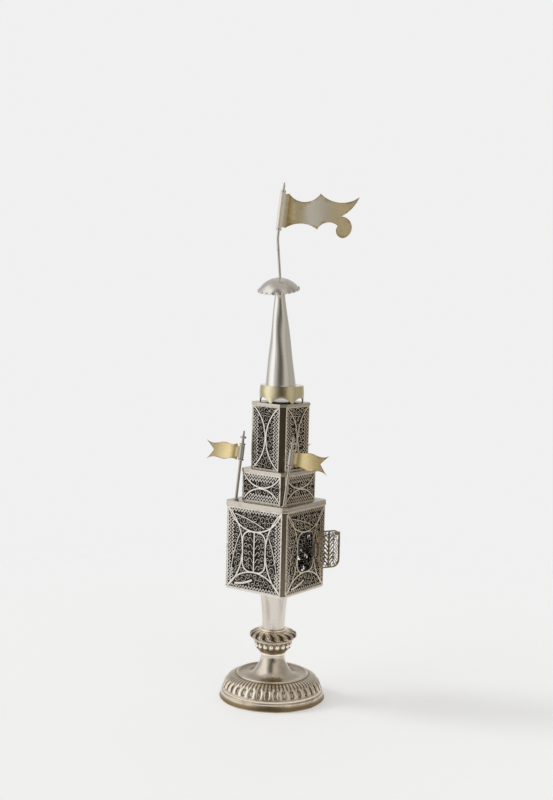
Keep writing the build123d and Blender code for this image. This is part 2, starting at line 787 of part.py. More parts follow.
def corner_poles_and_flags():
    # Outline in shares of the flag's length and of its sleeve's height, upper edge, swallow tail, lower edge
    hoist, dip, crest, second_dip, tail = (0.14, 1.14), (0.26, 1.04), (0.5, 1.17), (0.74, 1.05), (1.0, 1.26)
    upper = [hoist, dip, crest, second_dip, tail]
    lower = [(x, 1 - z) for x, z in reversed(upper)]
    notch = (0.795, 0.5)
    outline = [upper, (tail, (0.88, 0.84), notch), (notch, (0.88, 0.16), lower[0]), lower]

    stop_z = corner_flag_foot - end_play - pole_collar_height
    finial_z = corner_flag_foot + corner_flag_sleeve_height + end_play
    tenon = Pos(0, 0, -roof_sheet) * extrude(Circle(pole_radius), roof_sheet)
    tenon += spun_ring(0, pole_foot_radius, 0, pole_foot_height)
    shaft = extrude(Circle(pole_radius), finial_z)
    shaft += spun_ring(0, pole_collar_radius, stop_z, pole_collar_height)
    finial = spun_ring(0, pole_collar_radius, finial_z, pole_collar_height)
    finial += spun_ring(0, pole_collar_radius, pole_bead_height, pole_collar_height)
    finial += spun_outline(
        (0, finial_z + pole_collar_height / 2),
        (pole_radius, finial_z + pole_collar_height / 2),
        (pole_tip_radius, pole_tip_height),
        (0, pole_tip_height),
    )

    finials = []
    for corner, place in pole_places().items():
        _, _, heading, lean, droop = corner_flags[corner]
        stand = place * Pos(0, 0, pole_foot_height / 2) * leaning(lean)
        tail_flag = flag(
            outline,
            corner_flag_length,
            corner_flag_sleeve_height,
            corner_flag_sheet,
            pole_radius,
            corner_flag_sleeve_wall,
            pole_collar_radius,
            droop,
        )
        nodes[f"flagpole_{corner}"] = place * tenon + stand * shaft
        nodes[f"flag_{corner}"] = stand * Pos(0, 0, corner_flag_foot) * turn(heading, tail_flag)
        finials.append(stand * finial)
    nodes["flagpole_finials"] = Compound(children=finials)


def write_parts():
    os.makedirs("parts", exist_ok=True)
    for name, shape in nodes.items():
        export_step(shape, f"parts/{name}.step")
    print(len(nodes), "nodes written")


foot()
knop_and_stem()
clamp_rod()
tiers()
door()
collar()
spire()
mast()
main_flag()
corner_poles_and_flags()
write_parts()
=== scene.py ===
# %% [markdown]
# A silver spice tower of the kind used at the end of the Sabbath: a gadrooned foot, a knopped stem, three
# tiers of filigree wire, a plain spire and gilt flags. This lesson loads the tower's exact frame of solid
# parts and dresses each one: spun metal for the foot and the spire, bent wire for the walls, gilt sheet for
# the flags.

# %% Load the frame
import json
from math import atan2, ceil, cos, degrees, hypot, pi, radians, sin, sqrt
import bmesh
import bpy
import numpy as np
from mathutils import Matrix, Vector, noise
from mathutils.geometry import interpolate_bezier


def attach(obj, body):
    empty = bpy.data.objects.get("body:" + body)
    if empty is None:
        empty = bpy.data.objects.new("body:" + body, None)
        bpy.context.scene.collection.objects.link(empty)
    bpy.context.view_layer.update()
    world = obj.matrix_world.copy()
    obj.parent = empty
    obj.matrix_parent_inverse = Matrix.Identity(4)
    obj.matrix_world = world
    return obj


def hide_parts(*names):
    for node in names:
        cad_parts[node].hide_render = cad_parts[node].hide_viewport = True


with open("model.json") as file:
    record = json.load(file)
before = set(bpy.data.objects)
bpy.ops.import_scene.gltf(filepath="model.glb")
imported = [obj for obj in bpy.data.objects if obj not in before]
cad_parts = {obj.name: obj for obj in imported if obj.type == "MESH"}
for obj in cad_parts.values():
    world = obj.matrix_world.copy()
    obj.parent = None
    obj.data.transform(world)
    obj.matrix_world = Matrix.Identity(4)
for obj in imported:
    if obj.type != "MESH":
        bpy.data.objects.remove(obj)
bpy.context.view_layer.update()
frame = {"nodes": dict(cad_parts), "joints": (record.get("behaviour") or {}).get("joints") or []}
MM = 0.001
UP = Vector((0, 0, 1))


def placed(name, data):
    """A new object in the scene."""
    made = bpy.data.objects.new(name, data)
    bpy.context.scene.collection.objects.link(made)
    return made


def as_mesh(name, bm):
    """The mesh of a bmesh that is finished with."""
    mesh = bpy.data.meshes.new(name)
    bm.to_mesh(mesh)
    bm.free()
    return mesh


# %% [markdown]
# The camera comes first, because every later choice is judged through it. It stands a little above the lower
# roof, turned 35 degrees round from the front wall, and is rolled slightly, so the tower leans in the
# picture. Building the rotation from its three axes keeps the roll and the small pan easy to read.

# %% Camera
camera_turn, camera_reach, camera_height = radians(35.33), 0.624, 0.2066
camera_pan, camera_pitch, camera_roll = 0.002, 0.096, 0.025
eye = Vector((sin(camera_turn) * camera_reach, -cos(camera_turn) * camera_reach, camera_height))
heading = atan2(-eye.y, -eye.x) + camera_pan
ahead = Vector((cos(heading) * cos(camera_pitch), sin(heading) * cos(camera_pitch), -sin(camera_pitch)))
level_right = ahead.cross(UP).normalized()
level_up = level_right.cross(ahead)
right = cos(camera_roll) * level_right + sin(camera_roll) * level_up
above = cos(camera_roll) * level_up - sin(camera_roll) * level_right
camera = placed("camera", bpy.data.cameras.new("camera"))
camera.data.sensor_width = 36.0
camera.data.lens = 58.51
camera.data.clip_start = 0.01
camera.matrix_world = Matrix((right, above, -ahead)).transposed().to_4x4()
camera.location = eye
bpy.context.scene.camera = camera
print("camera at", [round(x, 3) for x in eye])

# %% [markdown]
# Shader maths reads best as ordinary arithmetic. This class wraps one socket: an expression on it adds Math
# nodes, and its add method brings in any other node with its settings first and its sockets after.


# %% Shader expressions
class Wired:
    """A socket of a node tree that takes part in expressions."""

    def __init__(self, tree, socket=None):
        self.tree = tree
        self.socket = socket

    def add(self, kind, settings=None, sockets=None, output=0):
        node = self.tree.nodes.new(kind)
        for name, value in (settings or {}).items():
            if name == "stops":
                self.set_stops(node.color_ramp, value)
            else:
                setattr(node, name, value)
        for name, value in (sockets or {}).items():
            if isinstance(value, Wired):
                self.tree.links.new(value.socket, node.inputs[name])
            else:
                node.inputs[name].default_value = value
        return Wired(self.tree, node.outputs[output] if node.outputs else None)

    @staticmethod
    def set_stops(ramp, stops):
        while len(ramp.elements) < len(stops):
            ramp.elements.new(1.0)
        for element, (place, colour) in zip(ramp.elements, stops):
            element.position = place
            element.color = (*colour, 1)

    def math(self, operation, *values, clamp=False):
        settings = {"operation": operation, "use_clamp": clamp}
        return self.add("ShaderNodeMath", settings, dict(enumerate(values)))

    def __add__(self, other):
        return self.math("ADD", self, other)

    def __sub__(self, other):
        return self.math("SUBTRACT", self, other)

    def __rsub__(self, other):
        return self.math("SUBTRACT", other, self)

    def __mul__(self, other):
        return self.math("MULTIPLY", self, other)

    def clamped(self):
        return self.math("ADD", self, 0.0, clamp=True)

    def ramp(self, low, high):
        """0 below low, 1 above high, and smooth between."""
        return self.add("ShaderNodeMapRange", {"interpolation_type": "SMOOTHSTEP"},
                        {"Value": self, "From Min": low, "From Max": high})

    def mix(self, first, second):
        """The first colour where this value is 0, the second where it is 1."""
        colours = {6: first, 7: second}
        return self.add("ShaderNodeMix", {"data_type": "RGBA"}, {0: self, **colours}, output=2)


print("shader expressions ready")

# %% [markdown]
# The stage is a pale floor, a soft sun from the left and a sky. The picture's background is one even pale
# tone, so camera rays see that tone. The metal needs something to mirror, so all other rays see a studio that
# runs round the tower: bright on the left, dark and warm beside the camera, grey on the right and pale at the
# back. A second row of tones stands higher up, for faces that tilt, and one grey hangs overhead. The floor
# glows a little by itself, which keeps the shadow on it as faint as in a light tent.

# %% Stage, sky and sun
backdrop = (0.872, 0.872, 0.872, 1)
side = right.copy()
side.z = 0
side.normalize()
toward_camera = UP.cross(side) * -1

world = bpy.data.worlds.new("studio")
bpy.context.scene.world = world
world.use_nodes = True
world.node_tree.nodes.clear()
sky = Wired(world.node_tree)
gaze = sky.add("ShaderNodeTexCoord")
across = gaze.add("ShaderNodeVectorMath", {"operation": "DOT_PRODUCT"}, {0: gaze, 1: side}, output=1)
front = gaze.add("ShaderNodeVectorMath", {"operation": "DOT_PRODUCT"}, {0: gaze, 1: toward_camera}, output=1)
lift = gaze.add("ShaderNodeSeparateXYZ", None, {0: gaze}, output=2)
bearing = across.math("ARCTAN2", across, front) * (0.5 / pi) + 0.5
# Degrees round from the camera, to the right above 0, with the tone that stands there
studio_tones = [
    (-180, (0.80, 0.80, 0.80)), (-132, (0.48, 0.47, 0.46)), (-112, (0.62, 0.61, 0.60)),
    (-92, (1.02, 1.02, 1.02)), (-68, (1.10, 1.10, 1.10)), (-50, (0.74, 0.735, 0.73)),
    (-33, (0.40, 0.39, 0.37)), (-15, (0.15, 0.14, 0.12)), (0, (0.095, 0.085, 0.07)),
    (14, (0.17, 0.155, 0.13)), (34, (0.50, 0.475, 0.43)), (52, (0.54, 0.51, 0.46)),
    (72, (0.40, 0.375, 0.335)), (92, (0.44, 0.41, 0.37)), (120, (0.40, 0.375, 0.34)),
    (150, (0.50, 0.48, 0.46)), (180, (0.80, 0.80, 0.80)),
]
upper_tones = [
    (-180, (0.60, 0.59, 0.58)), (-135, (0.50, 0.49, 0.48)), (-100, (0.95, 0.95, 0.95)),
    (-58, (1.05, 1.05, 1.05)), (-40, (0.48, 0.47, 0.45)), (-20, (0.15, 0.14, 0.12)),
    (-6, (0.18, 0.165, 0.14)), (14, (0.58, 0.55, 0.50)), (34, (0.62, 0.59, 0.54)),
    (62, (0.40, 0.38, 0.34)), (95, (0.34, 0.32, 0.29)), (180, (0.60, 0.59, 0.58)),
]
overhead_tone = (0.48, 0.47, 0.45, 1)


def tone_ring(tones):
    """A ramp over the bearing, with each tone at its degree."""
    stops = [(degree / 360 + 0.5, tone) for degree, tone in tones]
    return bearing.add("ShaderNodeValToRGB", {"stops": stops}, {0: bearing})


studio = lift.ramp(0.15, 0.45).mix(tone_ring(studio_tones), tone_ring(upper_tones))
studio = lift.ramp(0.74, 0.96).mix(studio, overhead_tone)
seen = sky.add("ShaderNodeLightPath")
tone = seen.mix(studio, backdrop)
light = tone.add("ShaderNodeBackground", None, {"Color": tone, "Strength": 1.0})
tone.add("ShaderNodeOutputWorld", None, {"Surface": light})

sun = placed("key", bpy.data.lights.new("key", "SUN"))
sun.data.energy = 0.6
sun.data.angle = 0.3
sun.visible_glossy = False
sun_rise = radians(38)
sun_from = -(side + 0.12 * toward_camera).normalized() * cos(sun_rise) + UP * sin(sun_rise)
sun.matrix_world = sun_from.to_track_quat("Z", "Y").to_matrix().to_4x4()

floor_bm = bmesh.new()
bmesh.ops.create_circle(floor_bm, cap_ends=True, segments=64, radius=0.6)
floor = placed("floor", as_mesh("floor", floor_bm))
paper = bpy.data.materials.new("pale_floor")
paper.use_nodes = True
paper_shader = paper.node_tree.nodes["Principled BSDF"]
paper_look = {"Base Color": (0.905, 0.922, 0.945, 1), "Roughness": 0.9, "Specular IOR Level": 0.1,
              "Emission Color": (1, 1, 1, 1), "Emission Strength": 0.285}
for socket, value in paper_look.items():
    paper_shader.inputs[socket].default_value = value
sheet = Wired(paper.node_tree)
spot = sheet.add("ShaderNodeTexCoord", output=3)
far = spot.add("ShaderNodeVectorMath", {"operation": "LENGTH"}, {0: spot}, output=1)
fade = 1 - far.ramp(0.17, 0.42)
paper.node_tree.links.new(fade.socket, paper_shader.inputs["Alpha"])
floor.data.materials.append(paper)
bpy.context.scene.view_settings.view_transform = "Standard"
print("stage set, sun from the left at", round(degrees(sun_rise)), "degrees")

# %% [markdown]
# Old silver is never one colour. Handling keeps the high places bright, and brown tarnish drifts over the
# flats in soft patches. The hollows are darkened as well, partly by tarnish and partly by painted shade, and
# the deepest may take a near-black deep colour, which is painted shade. Each finish is made from the same
# steps: a mask that the mesh carries, above 0 in hollows and below 0 on rubbed ribs, cloudy patches, fine
# mottling for the roughness, and a shallow bump of dents and hammer marks.


# %% Metal finishes
mottle_size, dent_size = 1.1, 5.5


def metal(name, bright, brown, rough, patchy, dent, patch_size=6.0, streaks=1.0, deep_shade=None, rubbed=None,
          grain=0.12):
    """A worn metal, bright where it is handled, and brown where it is tarnished or where shade is painted into
    its hollows.

    Patchy is how far the tarnish spreads. Dent is the depth of the bump and patch_size the width of a patch,
    in millimetres. Streaks draws the patches out upwards. The deep colour is painted shade for the deepest
    hollows, and rubbed colours the worn ribs.
    """
    bright, brown, deep_shade, rubbed = (colour and (*colour, 1) for colour in (bright, brown, deep_shade, rubbed))
    material = bpy.data.materials.new(name)
    material.use_nodes = True
    tree = material.node_tree
    shader = tree.nodes["Principled BSDF"]
    shader.inputs["Metallic"].default_value = 1.0
    start = Wired(tree)
    place = start.add("ShaderNodeTexCoord", output=3)
    stretched = place.add("ShaderNodeMapping", None, {"Vector": place, "Scale": (1, 1, 1 / streaks)})
    clouds = start.add("ShaderNodeTexNoise", None,
                       {"Vector": stretched, "Scale": 1 / (patch_size * MM), "Detail": 4.0, "Roughness": 0.55})
    mottle = start.add("ShaderNodeTexNoise", None,
                       {"Vector": place, "Scale": 1 / (mottle_size * MM), "Detail": 2.0, "Roughness": 0.5})
    hollow = start.add("ShaderNodeAttribute", {"attribute_name": "hollow"}, output=2)
    drift = clouds.ramp(0.72 - 0.42 * patchy, 0.95 - 0.25 * patchy) * 0.8
    speckle = (mottle - 0.5) * grain
    # Clouds and mottling are tarnish; the mask's hollows add darkening that is partly tarnish and partly
    # painted shade
    tarnish_and_shade = (hollow.ramp(0.05, 0.9) + drift + speckle).clamped()
    tone = tarnish_and_shade.mix(bright, brown)
    # The deep colour is painted shade in the deepest hollows
    if deep_shade:
        tone = hollow.ramp(0.5, 1.0).mix(tone, deep_shade)
    if rubbed:
        worn = (drift * 0.5 + speckle).clamped()
        tone = hollow.ramp(-0.9, -0.1).mix(worn.mix(rubbed, brown), tone)
    tree.links.new(tone.socket, shader.inputs["Base Color"])
    roughness = (tarnish_and_shade * 0.16 + (mottle - 0.5) * 0.06 + (clouds - 0.5) * 0.1 + rough).clamped()
    tree.links.new(roughness.socket, shader.inputs["Roughness"])
    waves = start.add("ShaderNodeTexNoise", None,
                      {"Vector": stretched, "Scale": 1 / (dent_size * MM), "Detail": 1.0})
    bump = start.add("ShaderNodeBump", None, {"Strength": 0.6, "Distance": dent * MM, "Height": waves})
    tree.links.new(bump.socket, shader.inputs["Normal"])
    return material


def wire_metal(name, bright, brown, rubbed):
    """Filigree wire: grainy, painted black in its depths as shade, and rubbed on its ribs."""
    # Near black: painted shade for the unlit inside of the walls
    painted_depth_shade = (0.02, 0.016, 0.012)
    return metal(name, bright, brown, 0.24, 0.45, 0.1, 4.0, deep_shade=painted_depth_shade, rubbed=rubbed, grain=1.3)


# The two colours, then roughness, spread of tarnish and depth of dents, then patches and streaks
silver = metal("plain_silver", (0.80, 0.765, 0.70), (0.46, 0.39, 0.30), 0.2, 0.3, 0.15)
dish_silver = metal("dish_silver", (0.74, 0.665, 0.565), (0.30, 0.225, 0.145), 0.12, 0.5, 0.3, 9.0,
                    rubbed=(0.80, 0.72, 0.60))
stem_silver = metal("stem_silver", (0.77, 0.71, 0.645), (0.44, 0.35, 0.27), 0.2, 0.6, 0.1, 3.2, 9.0)
spire_silver = metal("spire_silver", (0.86, 0.84, 0.80), (0.56, 0.52, 0.46), 0.17, 0.3, 0.25, 5.0, 3.0)
parasol_silver = metal("parasol_silver", (0.80, 0.76, 0.70), (0.46, 0.41, 0.34), 0.12, 0.4, 0.2, 5.0)
bronzed = metal("foot_bronzed", (0.74, 0.645, 0.52), (0.27, 0.20, 0.11), 0.15, 0.5, 0.3, 8.0)
chased = metal("chased_silver", (0.97, 0.88, 0.755), (0.34, 0.25, 0.15), 0.2, 0.3, 0.15, 5.0,
               deep_shade=(0.07, 0.05, 0.03))
wire_silver = wire_metal("filigree_wire", (0.78, 0.735, 0.665), (0.27, 0.22, 0.16), (0.78, 0.735, 0.665))
wire_brown = wire_metal("filigree_brown_wire", (0.90, 0.81, 0.68), (0.34, 0.265, 0.18), (0.92, 0.84, 0.72))
door_wire = metal("door_wire", (0.52, 0.42, 0.285), (0.17, 0.125, 0.07), 0.22, 0.5, 0.1, 3.0,
                  rubbed=(0.62, 0.52, 0.385), grain=1.0)
wire_dim = wire_metal("filigree_dim_wire", (0.64, 0.60, 0.53), (0.22, 0.175, 0.125), (0.78, 0.735, 0.665))
wire_tan = wire_metal("filigree_tan_wire", (0.72, 0.635, 0.52), (0.27, 0.205, 0.135), (0.78, 0.70, 0.585))
roof_silver = metal("roof_silver", (0.60, 0.555, 0.48), (0.33, 0.265, 0.19), 0.27, 0.45, 0.12)
strip_brown = metal("corner_strip", (0.225, 0.182, 0.13), (0.10, 0.078, 0.052), 0.22, 0.5, 0.15, streaks=3.0)
strip_dark = metal("dark_corner_strip", (0.22, 0.19, 0.15), (0.07, 0.058, 0.045), 0.22, 0.5, 0.15,
                   streaks=3.0)
pennant_gilt = metal("pale_gilt", (0.86, 0.735, 0.465), (0.46, 0.315, 0.12), 0.42, 0.5, 0.2, 7.0,
                     rubbed=(1.0, 0.95, 0.83), grain=0.5)
gilt = metal("worn_gilt", (1.0, 0.81, 0.44), (0.42, 0.29, 0.115), 0.2, 0.3, 0.2, 4.0,
             rubbed=(0.60, 0.55, 0.48), grain=0.5)
gilt_collar = metal("olive_gilt", (0.78, 0.70, 0.47), (0.40, 0.34, 0.19), 0.13, 0.4, 0.2,
                    deep_shade=(0.06, 0.05, 0.03))
pole_grey = metal("pole_grey", (0.62, 0.57, 0.50), (0.28, 0.225, 0.16), 0.2, 0.45, 0.1, 3.0, grain=0.6)
hinge_wire = metal("hinge_wire", (0.40, 0.34, 0.27), (0.14, 0.11, 0.08), 0.3, 0.5, 0.1, 2.0)
# Gilding that is worn dull scatters a part of the light
for dulled in (pennant_gilt, gilt):
    dulled.node_tree.nodes["Principled BSDF"].inputs["Metallic"].default_value = 0.6
rod_steel = metal("rod_steel", (0.42, 0.41, 0.40), (0.2, 0.17, 0.14), 0.4, 0.5, 0.1, 3.0)
print("metal finishes made:", len(bpy.data.materials))

# %% [markdown]
# Each new piece is shaped in millimetres at its place in the tower, then scaled to metres in one go. Smooth
# shading with sharp edges kept by angle suits spun and bent metal. The piece then rides its body, takes the
# place of its solid and takes its finish.


# %% Finishing a piece
def unit(value):
    """The value held between 0 and 1."""
    return min(max(value, 0), 1)


def keep_sharp(bm, angle):
    """Smooth faces, with the edges sharper than this angle kept crisp."""
    for face in bm.faces:
        face.smooth = True
    for edge in bm.edges:
        edge.smooth = edge.calc_face_angle(0.0) < radians(angle)


def piece(name, bm, finish, solids, body="tower", sharp=40):
    if sharp:
        keep_sharp(bm, sharp)
    bmesh.ops.scale(bm, vec=(MM, MM, MM), verts=bm.verts)
    obj = placed(name, as_mesh(name, bm))
    obj.data.materials.append(finish)
    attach(obj, body)
    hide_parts(*solids)
    print(name, len(obj.data.polygons), "faces")


def flowing(points, cuts=5):
    """A smooth line through a few points of (radius, height)."""
    flat = [Vector((r, 0, z)) for r, z in points]
    line = []
    for here, there in zip(range(len(flat) - 1), range(1, len(flat))):
        before, after = flat[max(here - 1, 0)], flat[min(there + 1, len(flat) - 1)]
        leave = flat[here] + (flat[there] - before) / 6
        arrive = flat[there] - (after - flat[here]) / 6
        line += interpolate_bezier(flat[here], leave, arrive, flat[there], cuts + 1)[:-1]
    return [(p.x, p.z) for p in line] + [points[-1]]


def spun(profile, steps=128):
    """A bmesh spun from a closed profile of (radius, height) points."""
    bm = bmesh.new()
    verts = [bm.verts.new((r, 0, z)) for r, z in profile]
    edges = [bm.edges.new(pair) for pair in zip(verts, verts[1:] + verts[:1])]
    bmesh.ops.spin(bm, geom=verts + edges, cent=(0, 0, 0), axis=(0, 0, 1), angle=2 * pi, steps=steps,
                   use_merge=True)
    bmesh.ops.remove_doubles(bm, verts=bm.verts, dist=1e-4)
    bmesh.ops.recalc_face_normals(bm, faces=bm.faces)
    return bm


def walled(line, wall):
    """The line and, on its inner side, the same line one wall away, as one closed profile."""
    inner = []
    for spot, (r, z) in enumerate(line):
        before, after = line[max(spot - 1, 0)], line[min(spot + 1, len(line) - 1)]
        run, rise = after[0] - before[0], after[1] - before[1]
        length = hypot(run, rise)
        inner.append((max(r - wall * rise / length, 0.05), z + wall * run / length))
    return line + inner[::-1]


def polar(vert):
    """A vertex's distance from the foot's axis and its angle round it."""
    return hypot(vert.co.x, vert.co.y), atan2(vert.co.y, vert.co.x)


def hollow_layer(bm):
    return bm.verts.layers.float.new("hollow")


def off_axis(shift, twist=0.0):
    """The shift off the foot's axis, towards the right of the picture, and the turn of a part."""
    heading = radians(35)
    turn = Matrix.Rotation(radians(twist), 4, "Z")
    return Matrix.Translation((shift * cos(heading), shift * sin(heading), 0)) @ turn


print("piece helpers ready")

# %% [markdown]
# The foot is three raised pieces. The rim is a band with a bead at the table, the border a ring of tongues
# called gadroons, and the dish a bright lip that falls to a hollow and rises to the stem. All three are spun.
# The tongues are pushed out of a spun quarter round: the bulge follows each vertex's angle and height.

# %% Foot rim and dish
rim_line = [(24.35, 0.0), (25.8, 0.0), (26.0, 0.25), (25.95, 0.6), (25.65, 0.8), (25.4, 1.8), (25.1, 2.9),
            (25.02, 3.3), (25.15, 3.6), (24.95, 4.0), (24.6, 4.2), (23.2, 4.2), (23.5, 3.0)]
rim = spun(rim_line, 160)
layer = hollow_layer(rim)
for vert in rim.verts:
    radius, angle = polar(vert)
    knock = 0.11 * (1 + sin(5 * angle + 0.8)) + 0.05 * (1 + sin(11 * angle))
    share = (radius - knock) / radius
    vert.co.x *= share
    vert.co.y *= share
    vert[layer] = 0.9 * unit((2.9 - vert.co.z) / 1.2) * unit((vert.co.z - 0.3) / 0.4)
piece("foot_band", rim, bronzed, ["foot_rim"])

dish_line = flowing([(16.75, 12.15), (15.9, 11.6), (14.5, 11.35), (13.1, 11.4), (11.2, 11.8), (9.6, 12.8),
                     (8.0, 14.7), (6.75, 17.2), (6.05, 19.5), (5.8, 21.7)], 3)
lip_line = [(16.9, 11.5), (17.45, 11.6), (17.5, 12.1), (17.38, 12.38), (17.15, 12.42), (16.95, 12.34)]
dish = spun(walled(lip_line + dish_line, 0.6), 160)
layer = hollow_layer(dish)
for vert in dish.verts:
    radius = hypot(vert.co.x, vert.co.y)
    # A dark ring beside the lip is a painted shadow of the lip
    shadow_under_lip = 0.55 * (1 - abs(radius - 15.6) / 1.6)
    hollow_floor = 0.5 * unit((radius - 8.5) / 3)
    vert[layer] = -1.0 if radius > 16.9 else max(shadow_under_lip, hollow_floor)
piece("foot_hollow_dish", dish, dish_silver, ["foot_dish"], sharp=60)


# %% Gadroon border
tongue_half, dart_half, dart_rise = 0.36, 0.07, 0.4


def bulged(low, high, foot, height, lobes, depth, steps, wall, rings=18):
    """A spun quarter round with a ring of tongues raised on it and a thin dart between each two."""
    line = []
    for ring in range(rings + 1):
        rise = pi / 2 * ring / rings
        line.append((high + (low - high) * cos(rise), foot + height * sin(rise)))
    bm = spun(walled(line, wall), lobes * steps)
    layer = hollow_layer(bm)
    for vert in bm.verts:
        radius, angle = polar(vert)
        level = (vert.co.z - foot) / height
        shell = high + (low - high) * sqrt(max(1 - min(level, 1) ** 2, 0))
        if radius < shell - 0.3 * wall or not 0 <= level <= 1:
            continue
        phase = (angle * lobes / (2 * pi)) % 1 - 0.5
        tongue = sqrt(max(1 - (phase / tongue_half) ** 2, 0))
        dart = dart_rise * max(1 - abs(abs(phase) - 0.5) / dart_half, 0)
        window = unit((level - 0.2) / 0.1) * unit((0.76 - level) / 0.2)
        # The grooves darken, partly as patina and partly as painted shade, and the ring at the top, under the
        # dish's lip, is painted shade
        groove = (1 - max(tongue, dart)) * sqrt(window)
        fan = 0.32 * cos(4 * pi * phase) * unit((level - 0.55) / 0.1)
        top = unit((level - 0.955) / 0.03)
        vert[layer] = min(max(1.1 * groove, (0.5 + fan) * (1 - window), 0.6 * top), 0.95)
        away = Vector((vert.co.x / radius, vert.co.y / radius, 1.1 * level)).normalized()
        swell = sqrt(max(1 - ((level - 0.45) / 0.31) ** 2, 0))
        vert.co -= away * depth * (1 - max(tongue, dart) * swell) * sqrt(window)
    return bm


border = bulged(low=24.4, high=17.1, foot=4.2, height=7.5, lobes=36, depth=0.9, steps=14, wall=0.8)
piece("gadroon_border", border, chased, ["foot_gadroon_ring"], sharp=80)

# %% [markdown]
# The knop is a stack of small spun pieces on the stem: a ring, a bowl with a row of beads, a bright girdle, a
# swelling cap chased with leaves, and a collar. The beads are small spheres carried round by a spin that
# makes copies. The leaves are low relief, so each vertex of the spun cap is raised along its normal.


# %% Knop and stem
def rounded_ring(inner, outer, foot, height, soft=0.4):
    """The profile of a flat ring with a round outer edge."""
    top = foot + height
    soft = min(soft, 0.45 * height)
    line = [(inner, foot)]
    low, middle, high = foot + soft, (foot + top) / 2, top - soft
    for turn, centre in ((-90, low), (-45, low), (0, middle), (45, high), (90, high)):
        line.append((outer - soft + soft * cos(radians(turn)), centre + soft * sin(radians(turn))))
    return line + [(inner, top)]


piece("lower_neck_ring", spun(rounded_ring(4.2, 6.6, 21.7, 1.2), 96), chased, ["neck_ring"])

bowl_line = flowing([(6.1, 22.9), (6.9, 23.3), (7.9, 24.4), (8.35, 26.0), (8.4, 27.6), (8.4, 28.5)], 3)
bowl = spun(walled(bowl_line, 0.7), 108)
for vert in bowl.verts:
    vert.co.z = min(max(vert.co.z, 22.9), 28.5)
bead = bmesh.ops.create_uvsphere(bowl, u_segments=14, v_segments=9, radius=1.0)["verts"]
bmesh.ops.scale(bowl, vec=(0.95, 1.12, 1.75), verts=bead)
bmesh.ops.rotate(bowl, verts=bead, cent=(0, 0, 0), matrix=Matrix.Rotation(radians(18), 3, "Y"))
bmesh.ops.translate(bowl, verts=bead, vec=(8.4, 0, 26.4))
bead_faces = list(dict.fromkeys(face for vert in bead for face in vert.link_faces))
bmesh.ops.spin(bowl, geom=bead + bead_faces, cent=(0, 0, 0), axis=(0, 0, 1), angle=2 * pi * 17 / 18, steps=17,
               use_duplicate=True)
layer = hollow_layer(bowl)
for vert in bowl.verts:
    # Between and below the beads the bowl darkens: partly patina, partly painted shade
    vert[layer] = min(max((9.0 - hypot(vert.co.x, vert.co.y)) / 0.9, 0), 0.8 if vert.co.z > 24.4 else 0.55)
piece("knop_beaded_bowl", bowl, chased, ["knop_bowl"], sharp=60)
piece("knop_bright_girdle", spun(rounded_ring(1.4, 9.9, 28.5, 1.2, 0.5), 128), roof_silver,
      ["knop_girdle"])

cap_line = flowing([(8.9, 29.7), (10.5, 29.85), (11.4, 30.5), (11.55, 31.3), (10.9, 32.3), (9.2, 33.1),
                    (6.6, 33.6)], 5)
cap = spun(walled(cap_line, 0.7), 252)
cap_leaves = 16
layer = hollow_layer(cap)
cap.normal_update()
for vert in cap.verts:
    radius, angle = polar(vert)
    if vert.normal.dot(Vector((vert.co.x / radius, vert.co.y / radius, 0.35))) <= 0:
        continue
    level = (vert.co.z - 29.7) / 3.9
    phase = angle * cap_leaves / (2 * pi) + 0.9 * level + 0.15 * sin(2 * pi * level)
    leaf = abs(phase % 1 - 0.5) * 2
    vein = abs((phase * 4 + level * 2.2 * (1 if (phase % 1) < 0.5 else -1)) % 1 - 0.5) * 2
    rise = (1 - leaf**2.5) * (0.45 + 0.55 * vein)
    band = sin(pi * unit(level)) ** 0.5
    # Between the leaves the cap darkens: partly patina, partly painted shade
    vert[layer] = min(band * (1 - rise) * 1.35 + 0.12, 1)
    vert.co += vert.normal * 0.6 * band * (rise - 0.85)
piece("knop_leaf_cap", cap, chased, ["knop_cap"], sharp=80)
small_collar = spun(rounded_ring(4.0, 6.9, 33.6, 1.0), 96)
piece("stem_small_collar", small_collar, chased, ["stem_collar"])

stem_line = flowing([(5.65, 34.6), (5.6, 37.0), (5.75, 41.0), (6.15, 46.0), (6.8, 51.0), (7.65, 54.8)], 4)
stem = spun(walled(stem_line, 0.6), 128)
piece("stem_flared_tube", stem, stem_silver, ["stem_trumpet"], sharp=60)

# %% [markdown]
# Filigree is wire bent with round pliers and soldered into a frame. The bender below works the same way: it
# holds the end face of a wire, and each call carries that face on along a straight or round an arc, with
# extrude or spin. It keeps the points it passed, so that later scrolls can be packed into the gaps that are
# left.


# %% Wire bender
def is_joined(face):
    """True unless the face is the loose one that a wire or a roof starts from, which stays as its cap."""
    return any(len(edge.link_faces) > 1 for edge in face.edges)


def end_face(geometry):
    return next(x for x in geometry if isinstance(x, bmesh.types.BMFace))


def drawn_on(bm, face, step):
    """The face carried on by one extrusion. A joined face goes, as it would be left inside."""
    joined = is_joined(face)
    end = end_face(bmesh.ops.extrude_face_region(bm, geom=[face])["geom"])
    bmesh.ops.translate(bm, vec=step, verts=end.verts)
    if joined and face.is_valid:
        bm.faces.remove(face)
    return end


